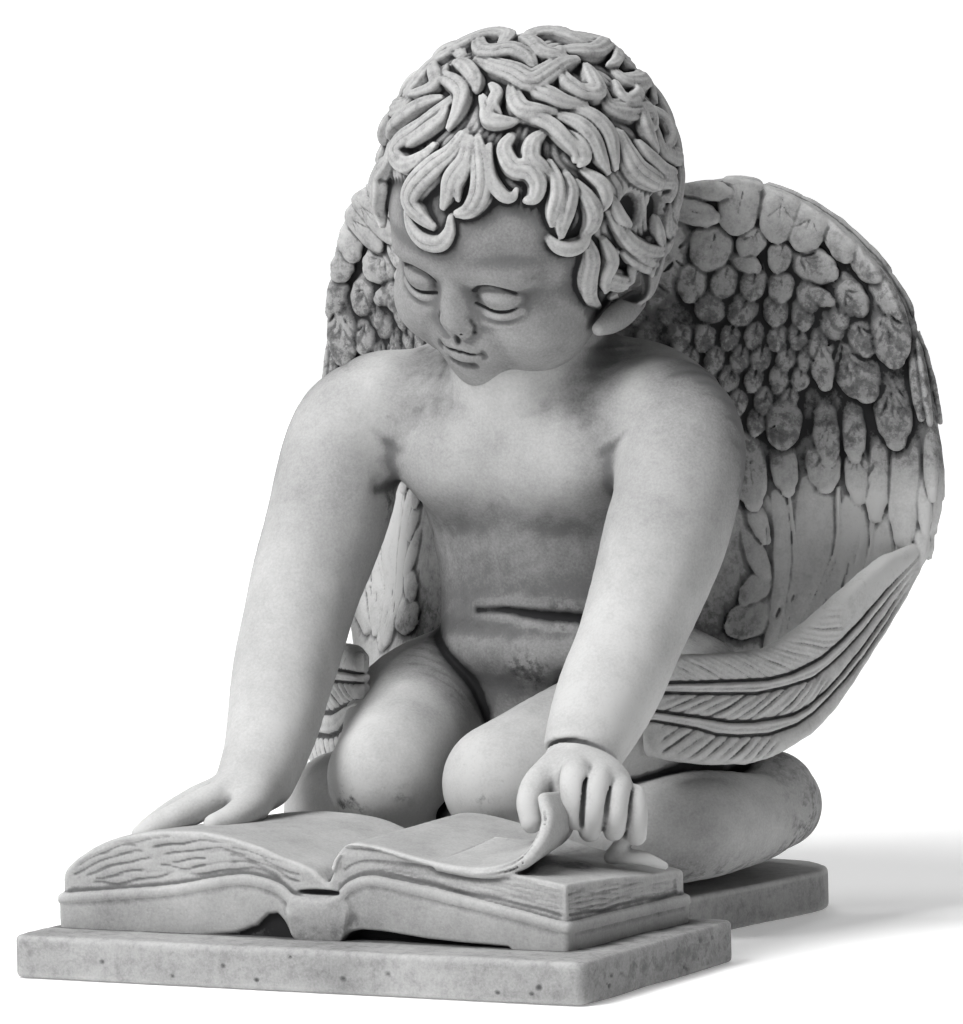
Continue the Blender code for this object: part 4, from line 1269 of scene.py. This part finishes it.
def model_lock(clay, width, strands, places, lift=0.0):
    """One lock: a rounded tress, pointed at both ends, with fine strands laid along it."""
    spots = around_head(*np.array(places, float).T)
    path = smooth_path(spots, 5)
    path /= np.linalg.norm(path, axis=1)[:, None]
    t = np.linspace(0, 1, len(path))
    raised = lift - 1.2 + 2.6 * np.sin(np.pi * np.clip(t * 0.9 + 0.08, 0, 1)) + 1.8 * t
    base_line = HAIR_MIDDLE + path * (HAIR_HALF + raised[:, None])
    outward = path / HAIR_HALF
    outward /= np.linalg.norm(outward, axis=1)[:, None]
    along = np.gradient(base_line, axis=0)
    side = np.cross(outward, along)
    side /= np.maximum(np.linalg.norm(side, axis=1), 1e-6)[:, None]
    spread = 0.12 + 0.88 * np.sin(np.pi * np.clip(0.11 + 0.83 * t, 0, 1)) ** 0.8
    dome = 0.66 * width * spread
    middle = base_line - outward * (0.72 * dome)[:, None]
    clay.roll(on_head(np.column_stack((middle, np.maximum(dome - 0.8, 0.5)))), 0.4)
    thick = dome * math.radians(LOCK_OPENING) / strands * 0.53
    thick = thick * (0.72 + 0.28 * np.sin(np.pi * np.clip(0.1 + 0.8 * t, 0, 1)))
    for angle in np.radians((np.arange(strands) - (strands - 1) / 2) * LOCK_OPENING / strands):
        reach = (dome - 0.66 * thick)[:, None]
        line = middle + side * math.sin(angle) * reach + outward * math.cos(angle) * reach
        clay.roll(on_head(np.column_stack((line, np.maximum(thick, 0.6)))), 0.45)


def comb_lines(polar, azimuth):
    """Height of the combed ground between the locks: wavy ridges that run out from the crown."""
    wavy = azimuth + 0.06 * np.sin(polar * 9) + 0.02 * np.sin(polar * 23 + azimuth * 3)
    height = 0.0
    for count, low, high in ((36, 0.0, 0.75), (72, 0.55, 1.25), (108, 1.05, 9.0)):
        share = smooth_step((polar - low) / 0.2) * smooth_step((high - polar) / 0.2)
        height = height + share * np.abs(np.sin(wavy * count / 2)) ** 0.7
    return 0.8 * height


def model_hair(clay):
    """The combed cap first, then the locks that fill, the deep gaps, and the locks on the list."""
    place = clay.whole()
    x, y, z = (axis - middle for axis, middle in zip(place[1], SKULL))
    own = [x * head_axes[0, i] + y * head_axes[1, i] + z * head_axes[2, i] for i in range(3)]
    ball = [(own[i] - HAIR_MIDDLE[i]) / (HAIR_HALF[i] - CAP_DEPTH) for i in range(3)]
    near = np.sqrt(ball[0] ** 2 + ball[1] ** 2 + ball[2] ** 2)
    polar = np.arccos(np.clip(ball[2] / np.maximum(near, 1e-6), -1, 1))
    cap = (near - 1.0) * 60.0 - comb_lines(polar, np.arctan2(ball[1], ball[0]))
    tilt = math.radians(HAIRLINE_TILT)
    below = 2.0 - own[1] * math.sin(tilt) - own[2] * math.cos(tilt) - 6.0
    below = np.maximum(below, -own[2] - 52.0)
    clay.press(place, both(cap, below, 5.0), 1.5)
    for width, strands, places in fill_locks():
        model_lock(clay, width, strands, places, -0.8)
    for spot in around_head(*np.array(HAIR_HOLLOWS, float).T):
        head_lump(clay, HAIR_MIDDLE + spot * HAIR_HALF, (8, 8, 9), 1.5, True)
    for width, strands, places in LOCKS:
        model_lock(clay, width, strands, places, 0.3)


def new_head_clay():
    return Clay((-68, -52, 232), (88, 116, 398), 0.65, 4.0)


def model_head():
    """The finished head, and the bare face as it was before the hair went on."""
    clay = new_head_clay()
    model_face(clay)
    for side in (-1, 1):
        model_eye(clay, side)
    model_nose(clay)
    model_mouth(clay)
    for line in CREASES:
        crease(clay, *line)
    skin = new_head_clay()
    skin.field = clay.field.copy()
    model_hair(clay)
    return clay, skin


head_clay, head_skin = model_head()
print("hair:", len(LOCKS), "locks from the list and", len(fill_locks()), "more")


def is_skin(points):
    """1 on the face, 0 where hair lies over it."""
    height = sample(head_skin.field, (points - head_skin.low) / head_skin.grain)
    return smooth_step((1.6 - height) / 0.8)


def head_soil_and_shade(points):
    """Lighter grime lies in the hair; on the face an even grey veil of grime and painted shade, darker
    towards the brow.
    """
    own = (points - SKULL) @ head_axes
    # On the face, grime and the painted shade of the bowed face, growing towards the brow.
    return 0.5 + is_skin(points) * (0.75 + 0.45 * smooth_step((own[:, 2] + 4) / 20))


def head_stain(points):
    return 0.35 * (1 - is_skin(points))


cast("head", head_clay, HEAD_FACES, head_soil_and_shade, head_stain)

# %% [markdown]
# ## The wings
# Each wing is a bowed wall behind the shoulder.  Short rounded feathers cover its upper part like
# roof tiles: every one is sunk at its root and stands proud at its tip, so a shadow falls on the
# row below.  Longer ones hang from them, and the longest wrap forward round the hip.

# %% The wall of a wing
WING_OUTER = ((24, 302), (36, 315), (50, 320), (66, 321.5), (90, 312), (111, 296.5), (128, 276.5),
              (140.5, 250), (146.5, 224), (149.5, 198), (148, 172), (138, 156))
WING_INNER = ((22, 262), (24, 238), (27, 214), (32, 190), (34, 168), (36, 150), (38, 126),
              (46, 104), (60, 90), (80, 84), (100, 100), (124, 134))
WING_ROOT = ((16, 92, 206, 22), (22, 104, 232, 20), (28, 112, 262, 16), (34, 114, 292, 11))
WALL_HALF = 3.8


def wall_depth(x, z):
    """How far back the wall stands at x, z: it bows forward to the spine, less so higher up."""
    bow = 1.0 - 0.55 * smooth_step((z - 180) / 120)
    return 150 - 0.0068 * (150 - x) ** 2 * bow


def wall_normal(x, z, face):
    """Out of the wall's front, face -1, or out of its back, face +1."""
    slope_x = (wall_depth(x + 1, z) - wall_depth(x - 1, z)) / 2
    slope_z = (wall_depth(x, z + 1) - wall_depth(x, z - 1)) / 2
    normal = face * np.array((-slope_x, 1.0, -slope_z))
    return normal / np.linalg.norm(normal)


def on_wall(x, z, out, face=-1):
    """A point that stands out from one face of the wall."""
    return np.array((x, wall_depth(x, z), z)) + wall_normal(x, z, face) * (WALL_HALF + out)


def press_wall(clay):
    outer, inner = smooth_path(WING_OUTER, 6), smooth_path(WING_INNER, 6)
    place = clay.window((10, 20, 74), (158, 164, 332))
    x, y, z = place[1]
    flat_x, flat_z = x[:, 0, :], z[0, :, :]
    edge = outline_distance(np.vstack((outer, inner[::-1])), flat_x, flat_z)[:, None, :]
    depth = np.abs(y - wall_depth(x, z)) / np.sqrt(1 + (0.0136 * (150 - x)) ** 2) - WALL_HALF
    clay.press(place, both(edge, depth, 3.0), 0)
    clay.limb(WING_ROOT, 5, 6)


# %% Feathers like roof tiles
# Every row: root x and z, tip x and z, half width, and how many barbs are cut on each side after
# the first one.  A feather with none of these has no quill either.  Most of the rows came out of
# the same kind of helper script as the locks, and some of them were then moved by hand.
SHOULDER_TILES = (
    (66.5, 318.2, 62.4, 297.7, 8.6, 1), (82.8, 314.8, 79.3, 293.9, 8.6, 2),
    (95.8, 307.6, 89.0, 290.2, 8.2, 2), (105.4, 301.4, 110.8, 284.7, 6.4, 0),
    (117.0, 291.5, 124.0, 275.9, 7.2, 1), (124.7, 274.9, 135.4, 260.0, 5.8, 0),
    (127.0, 264.7, 132.0, 238.8, 8.4, 3), (44.6, 318.6, 62.2, 315.5, 4.4, 0),
    (42.4, 309.4, 56.4, 304.5, 5.3, 1))
SECOND_TILES = (
    (55.4, 299.6, 51.1, 281.3, 9.0, 1), (72.6, 300.1, 65.6, 287.3, 6.0, 2),
    (82.7, 293.5, 79.5, 280.1, 5.2, 1), (88.0, 287.2, 105.3, 278.1, 7.0, 3),
    (106.2, 274.0, 118.1, 261.7, 6.6, 2), (113.7, 259.5, 119.4, 243.4, 6.2, 2),
    (62.6, 286.8, 73.2, 281.1, 4.2, 0), (90.8, 272.9, 103.9, 266.2, 3.8, 0))
THIRD_TILES = (
    (56.1, 270.6, 54.0, 258.8, 7.8, 0), (69.5, 270.0, 63.5, 256.9, 6.7, 1),
    (80.8, 270.6, 79.4, 256.4, 5.8, 1), (90.5, 270.3, 91.6, 254.4, 5.6, 0),
    (101.4, 265.0, 106.5, 250.7, 6.9, 1))
BETWEEN_TILES = (
    (48.6, 284.0, 46.4, 266.8, 6.6, 1), (60.4, 283.2, 57.8, 268.4, 6.2, 1),
    (71.6, 281.4, 69.4, 267.6, 5.8, 1), (82.0, 279.0, 81.2, 266.6, 5.6, 1),
    (93.2, 274.6, 94.4, 262.4, 5.8, 1), (104.6, 267.6, 108.4, 254.8, 5.6, 1))
LONG_TILES = (
    (97.2, 256.5, 100.7, 229.2, 5.6, 2), (107.2, 250.6, 119.8, 224.4, 9.7, 5),
    (128.0, 236.6, 131.2, 203.7, 8.0, 3), (84.7, 223.7, 84.7, 203.5, 7.8, 0),
    (100.9, 219.0, 102.0, 196.3, 5.4, 2), (111.8, 219.9, 112.7, 197.8, 4.8, 2),
    (142.9, 249.7, 148.0, 214.7, 2.8, 0), (138.5, 243.0, 143.3, 216.4, 2.6, 0))
LOW_TILES = (
    (72.6, 206.7, 75.2, 178.7, 7.5, 1), (84.7, 206.0, 87.0, 183.8, 5.6, 0),
    (99.5, 206.1, 100.9, 184.8, 7.1, 2), (113.0, 206.7, 113.7, 179.8, 5.0, 3),
    (122.7, 202.9, 120.8, 172.3, 4.9, 3), (135.0, 208.9, 133.2, 161.7, 6.9, 0),
    (145.7, 206.1, 147.8, 180.7, 3.0, 0), (142.2, 190.8, 144.2, 165.8, 3.0, 0),
    (141.4, 170.7, 141.7, 154.2, 3.2, 0))
SIDE_TILES = (
    (74.5, 181.6, 79.3, 163.3, 4.0, 0), (73.4, 166.7, 79.1, 147.1, 4.2, 0),
    (80.7, 149.4, 70.1, 137.1, 5.4, 0), (80.5, 134.8, 64.6, 125.2, 7.8, 0))
FLIGHT_FEATHERS = (
    ((83.9, 184, 3.6), (85.0, 162, 4.3), (83.7, 142, 4.2), (80.0, 118, 3.2)),
    ((97.5, 186, 8.6), (95.8, 161, 9.6), (90.6, 142, 7.6), (82.4, 117, 4.4)),
    ((113.1, 178, 7.0), (110.6, 154, 7.4), (102.4, 138, 6.2), (91.0, 122, 3.6)),
    ((125.9, 172, 5.4), (122.8, 149, 6.2), (113.1, 134, 5.4), (98.2, 122, 3.4)))
# Short dashes pressed into the flight feathers, as x and z of both ends.
DASHES = ((102, 160, 101.2, 156), (102.6, 154, 101.8, 150.6), (97.4, 147.4, 96.6, 144.2),
          (88.4, 139.8, 87.6, 137.6), (94.8, 140.4, 93.4, 137.2), (83.2, 134, 82, 131),
          (86.6, 130, 85.8, 125.4), (107.8, 148, 106.6, 142.6), (109.4, 153, 108.6, 148.6),
          (104, 172, 103.2, 167), (114.6, 166, 113.8, 160.4), (112.4, 156.6, 111.4, 152),
          (79.6, 170, 79.2, 163), (100.2, 137.6, 98.6, 134), (106, 139.6, 104.2, 136.4))


TILE_SPREAD = 1.16              # tiles are a little wider than their spacing, so they crowd
tile_dice = np.random.default_rng(8)


def tile(clay, row, face, sunk, proud, thick):
    """One short feather: a flat roll, sunk at the root, proud at the tip."""
    x0, z0, x1, z1, half, barbs = row
    half = half * TILE_SPREAD
    if face > 0:
        proud, thick = 0.45 * proud - 0.4, 0.6 * thick
    root, tip = np.array((x0, z0)), np.array((x1, z1))
    root, tip = root - 0.30 * (tip - root), tip + 0.06 * (tip - root)
    sunk = sunk - 1.4
    long = np.linalg.norm(tip - root)
    end = max(0.45, 1 - 0.55 * half / long)
    stations = []
    for share, wide in ((0, 0.74), (0.3, 0.95), (0.6, 1.0), (0.82, 0.86), (1.0, 0.52)):
        x, z = root + (tip - root) * end * share
        out = sunk + (proud - sunk) * share
        stations.append((*on_wall(x, z, out, face), half * wide))
    normal = wall_normal((x0 + x1) / 2, (z0 + z1) / 2, face)
    clay.roll(stations, blend=0.3, flat=(*normal, half / thick))
    if face > 0:
        return
    along = (tip - root) / long
    across = np.array((-along[1], along[0]))

    def skin(share, side):
        """A point on the feather's face at a share of its length and of its half width."""
        x, z = root + (tip - root) * share + across * half * side
        lift = sunk + (proud - sunk) * min(share / end, 1.0)
        lift = lift + thick * math.sqrt(max(0, 1 - side ** 2))
        return on_wall(x, z, lift, face)

    for k in range(barbs + 1):
        for side in (-1, 1):
            start = 0.90 - 0.13 * k - 0.05 * (side > 0) + tile_dice.uniform(-0.03, 0.03)
            size = tile_dice.uniform(0.5, 0.85)
            cut = [(*skin(start - 0.20, side * 0.10), 0.3), (*skin(start - 0.08, side * 0.38), size),
                   (*skin(start, side * 0.68), 0.4)]
            clay.roll(cut, blend=0.6, carve=True)
    if barbs > 0:
        quill = [(*skin(s, 0.0), r) for s, r in ((0.3, 0.25), (0.6, 0.6), (0.88, 0.3))]
        clay.roll(quill, blend=0.6, carve=True)


def small_tiles():
    """The little scales between the shoulder and the long feathers, in staggered rows."""
    for number in range(5):
        z = 258.5 - 9.2 * number
        for k in range(6):
            x = 47 + 8.6 * k + 3.0 * (number % 2) + 0.9 * number + tile_dice.uniform(-0.7, 0.7)
            if x < 96 - 2.0 * number:
                tip = z - 12.6 + tile_dice.uniform(-1, 1)
                yield x, z, x - 2.0, tip, 4.6 + tile_dice.uniform(-0.3, 0.5), 1


def root_tiles():
    """Plain scales near the spine, where the head and the arm hide most of the wing."""
    for number in range(16):
        z = 306 - 11.2 * number
        for k in range(3):
            x = 44 - 10.5 * k - 5.0 * (number % 2)
            if x > 16 + 0.10 * (300 - z):
                yield x, z, x + 1.5, z - 15.0, 5.8, 0


def flight_feather(clay, stations, face):
    """A long smooth feather low on the wall, with a thin quill beside it."""
    path = smooth_path(stations, 5)
    share = np.linspace(0, 1, len(path))
    points = [(*on_wall(x, z, -0.6 + 1.2 * s, face), r) for (x, z, r), s in zip(path, share)]
    x, z, _ = path[len(path) // 2]
    widest = max(p[3] for p in points)
    clay.roll(points, blend=0.3, flat=(*wall_normal(x, z, face), widest / 2.4))
    if face < 0:
        edge = [(*on_wall(x + r * 0.97, z, 0.6, face), 0.85) for x, z, r in path]
        clay.roll(edge, blend=0.4)


def trim_rim(clay):
    """Cut the tiles off along the rim, so that the outline of the wing stays one smooth line."""
    place = clay.window((6, 60, 176), (160, 166, 334))
    x, y, z = place[1]
    outline = np.vstack((smooth_path(WING_OUTER, 6), ((124, 134), (-40, 134), (-40, 302))))
    beyond = outline_distance(outline, x[:, 0, :], z[0, :, :])[:, None, :] - 1.0
    clay.press(place, 0 * y - beyond, 1.5, True)


def model_wall(clay):
    press_wall(clay)
    for face in (-1, 1):
        for stations in FLIGHT_FEATHERS:
            flight_feather(clay, stations, face)
        # The lowest rows go on first; then how deep the root, how proud the tip, and how thick.
        for rows, sunk, proud, thick in (
                (SIDE_TILES, -1.0, 1.5, 2.6), (LOW_TILES, -1.2, 2.2, 2.8), (LONG_TILES, -1.0, 2.8, 3.0),
                (root_tiles(), -1.4, 0.6, 2.2), (small_tiles(), -1.0, 1.8, 2.2),
                (THIRD_TILES, -0.6, 2.2, 2.6), (BETWEEN_TILES, -0.3, 2.8, 2.8),
                (SECOND_TILES, 0.0, 3.6, 3.0), (SHOULDER_TILES, 1.0, 4.6, 3.4)):
            for row in rows:
                tile(clay, row, face, sunk, proud, thick)
    trim_rim(clay)
    for x0, z0, x1, z1 in DASHES:
        ends = [(*on_wall(x, z, 2.2), 0.9) for x, z in ((x0, z0), (x1, z1))]
        clay.roll(ends, blend=0.3, carve=True)


# %% The long feathers round the hip
# Their lower edge as x, y, z, and the lines that part them, as share of the way and height.
RIM_EDGE = ((141, 150, 156), (137, 134, 138), (131, 112, 118), (123, 88, 94), (114, 66, 79),
            (102, 45, 73), (90, 26, 74), (76, 9, 79))
PARTINGS = (
    ((0, 163), (.18, 158), (.26, 153), (.38, 143.5), (.49, 134), (.57, 128), (.65, 123.2), (.77, 122.8),
     (.92, 123.6), (1, 122)),
    ((0, 160), (.2, 143), (.31, 131.4), (.38, 124.3), (.46, 117.4), (.57, 112), (.65, 110.3),
     (.84, 111.3), (1, 112.4)),
    ((0, 159), (.2, 139), (.31, 126.5), (.38, 119), (.44, 113.5), (.5, 109), (.6, 106.3), (.69, 104.8),
     (.79, 105.9), (1, 108.4)),
    ((0, 158), (.2, 133), (.31, 119), (.38, 110.5), (.44, 103.5), (.52, 96.6), (.57, 94), (.7, 92.7),
     (.78, 93.6), (.87, 96.6), (1, 100.4)),
    ((0, 157), (.2, 129.5), (.31, 115), (.38, 106.5), (.44, 100), (.5, 94), (.56, 89.8), (.65, 86.7),
     (.75, 87.2), (.82, 88.7), (.88, 92), (1, 96.2)),
    ((0, 155), (.105, 138), (.25, 118), (.411, 94), (.5, 84.5), (.59, 78.6), (.65, 75.6), (.72, 74),
     (.85, 75.6), (.93, 77.7), (1, 80)))
BAND_HEIGHT = (2.4, 2.8, 2.4, 2.8, 2.6)
# The barbs of three of the feathers: which feather, how far apart, how far each runs along for its
# height, how deep, and the shares of the way where they start and end.
BARBS = ((0, 4.6, 1.6, 0.95, 0.36, 0.95), (2, 7.0, -1.5, 1.35, 0.42, 0.99),
         (4, 6.6, -1.1, 1.35, 0.6, 1.0))


def way_round(x, y):
    """For a flat grid: the share of the way round the hip, and how far outside it lies."""
    run = smooth_path([p[:2] for p in RIM_EDGE], 6)
    length = np.concatenate(([0], np.cumsum(np.linalg.norm(np.diff(run, axis=0), axis=1))))
    best = np.full(x.shape, 1e9)
    share, outside = np.zeros(x.shape), np.zeros(x.shape)
    for i in range(len(run) - 1):
        way = run[i + 1] - run[i]
        t = ((x - run[i, 0]) * way[0] + (y - run[i, 1]) * way[1]) / (way @ way)
        t = np.clip(t, 0, 1)
        dx, dy = x - run[i, 0] - t * way[0], y - run[i, 1] - t * way[1]
        gap = np.hypot(dx, dy)
        nearer = gap < best
        best = np.where(nearer, gap, best)
        share = np.where(nearer, (length[i] + t * np.linalg.norm(way)) / length[-1], share)
        sign = np.sign(way[1] * dx - way[0] * dy)
        outside = np.where(nearer, -sign * gap, outside)
    return share, outside, length[-1]


def model_sheet(clay):
    """The wrapped feathers as one curved sheet whose outer face swells between the partings."""
    place = clay.window((60, -6, 66), (156, 164, 172))
    x, y, z = place[1]
    flat_x, flat_y = np.broadcast_arrays(x[:, :, 0], y[:, :, 0])
    share, outside, length = way_round(flat_x, flat_y)
    lines = [np.interp(share, [p[0] for p in line], [p[1] for p in line])[:, :, None]
             for line in PARTINGS]
    swell = np.zeros(np.broadcast_shapes(x.shape, y.shape, z.shape), np.float32)
    seam = np.full(swell.shape, 99.0, np.float32)
    for upper, lower, height in zip(lines, lines[1:], BAND_HEIGHT):
        level = np.clip((z - lower) / np.maximum(upper - lower, 0.5), 0, 1)
        swell = np.maximum(swell, height * np.sqrt(4 * level * (1 - level)))
    for line in lines[1:-1]:
        seam = np.minimum(seam, np.abs(z - line))
    fade = smooth_step((share - 0.05) / 0.3)[:, :, None]
    for upper, lower in ((lines[1], lines[2]), (lines[3], lines[4])):
        quill = np.abs(z - (upper + lower) / 2 + 0.3)
        swell = swell - 1.0 * fade * smooth_step(1 - quill / 0.8)
    swell = swell * (0.35 + 0.65 * fade) - 1.7 * fade * smooth_step(1 - seam / 1.1)
    for feather, spacing, slant, depth, start, end in BARBS:
        lower, upper = lines[feather + 1], lines[feather]
        level = np.clip((z - lower) / np.maximum(upper - lower, 0.5), 0, 1)
        turn = (share[:, :, None] * length - slant * (z - lower) - 2.2 * slant * level ** 2) / spacing
        number = np.round(turn)
        gap = np.abs(turn - number + 0.16 * np.sin(number * 12.9)) * spacing / math.hypot(1, slant)
        there = smooth_step((share - start) / 0.06) * smooth_step((end - share) / 0.03)
        there = there[:, :, None] * smooth_step(level * (1 - level) * 9)
        uneven = 0.75 + 0.25 * np.sin(number * 2.4)
        swell = swell - depth * uneven * there * smooth_step(1 - gap / 1.25)
    outside = outside[:, :, None]
    thin = np.interp(share, (0, 0.2, 0.9, 1), (2.4, 3.0, 3.0, 2.0))[:, :, None]
    faces = np.maximum(outside - thin - swell, -outside - thin - 0.4 * np.maximum(swell, 0))
    middle = (lines[0] + lines[-1]) / 2
    edges = np.abs(z - middle) - (lines[0] - lines[-1]) / 2
    ends = np.hypot(flat_x - 76, flat_y - 9)[:, :, None] - 8 - (1 - share[:, :, None]) * 400
    clay.press(place, both(np.maximum(edges, ends), faces, 3.2), 1.2)


wing_clay = Clay((6, -8, 62), (160, 166, 334), 0.72, 4.0)
model_wall(wing_clay)
model_sheet(wing_clay)
x, y, z = wing_clay.whole()[1]
wing_clay.field += (0.30 * waves(x, y, z, 11, 51) + 0.16 * waves(x, y, z, 4.5, 52)).astype(np.float32)
print("wing clay", tuple(int(n) for n in wing_clay.count), "grid points")

# %% Two wings from one model
# How each wing is set: how far its free part swings forward, and how far its top and its lower
# end spread.
LEFT_WING_SET = (0.0, 0.0, 0.0)
RIGHT_WING_SET = (25.0, 26.0, 15.0)
RIGHT_WING_LEAN = ((150, 0), (175, -3), (200, -7), (224, -8), (240, -6), (255, -4), (265, -1), (275, 3),
                   (285, 6), (325, 8))
WING_FACES = 120000
# How dirty the feathers are at each height; the values below 0 paint the long low feathers lighter, as if
# lit.
WING_DIRT_AND_LIGHT = ((80, -0.4), (125, -0.4), (150, -1.2), (180, -1.1), (200, 0.9), (215, 1.8), (265, 1.7),
             (295, 0.3))


def wing_soil_and_light(points):
    """Dirt lies thickest between the short feathers half way up; the long ones are painted lighter, and
    painted shade lies by the root between the arm and the body.
    """
    x, _, z = points.T
    # Painted shade by the root of the wing, in the shadow of the arm and the body.
    root = 1.6 * smooth_step((86 - x) / 12) * smooth_step((z - 112) / 10)
    root = root * smooth_step((205 - z) / 20)
    # Dirt by height, with painted light on the long low feathers.
    return root + np.interp(z, *np.transpose(WING_DIRT_AND_LIGHT))


def wing_stain(points):
    """Blotches show most where the grime and the painted shade are thickest."""
    return 0.2 + 0.5 * np.maximum(wing_soil_and_light(points), 0)


def tuck(x, y, z):
    """On the right the ends of the long feathers lie close to the thigh and hang lower."""
    near = smooth_step((72 - y) / 60)
    inward = 13 * near * smooth_step((165 - z) / 30)
    drop = 12 * smooth_step((100 - z) / 25) * smooth_step((110 - y) / 50)
    return x - inward, z - drop


def place_wing(points, side, pose):
    """Wing points swung forward, spread, and put on the figure's left (+1) or right (-1)."""
    forward, top_spread, low_spread = pose
    x, y, z = points.T
    swing = forward * smooth_step((x - 20) / 60) * smooth_step((y - 20) / 110)
    spread = top_spread * np.maximum(0.0, (z - 280) / 42) ** 1.5
    spread = spread + low_spread * smooth_step((150 - z) / 50) * smooth_step((y - 60) / 60)
    if side < 0:
        lean = np.interp(z, *np.transpose(RIGHT_WING_LEAN))
        spread = spread + lean * smooth_step((x - 30) / 60)
        x, z = tuck(x, y, z)
    return np.stack((side * (x + spread), y - swing, z), axis=1)


def cast_wing(name, side, pose):
    points, quads = drawn_surface(wing_clay)
    piece = mesh_piece(name, points, quads, WING_FACES)
    note_hollows(piece, wing_clay, wing_soil_and_light, wing_stain)
    if side < 0:
        piece.data.flip_normals()
    set_in_frame(piece, place_wing(mesh_points(piece), side, pose))
    return piece


cast_wing("left_wing", 1, LEFT_WING_SET)
cast_wing("right_wing", -1, RIGHT_WING_SET)
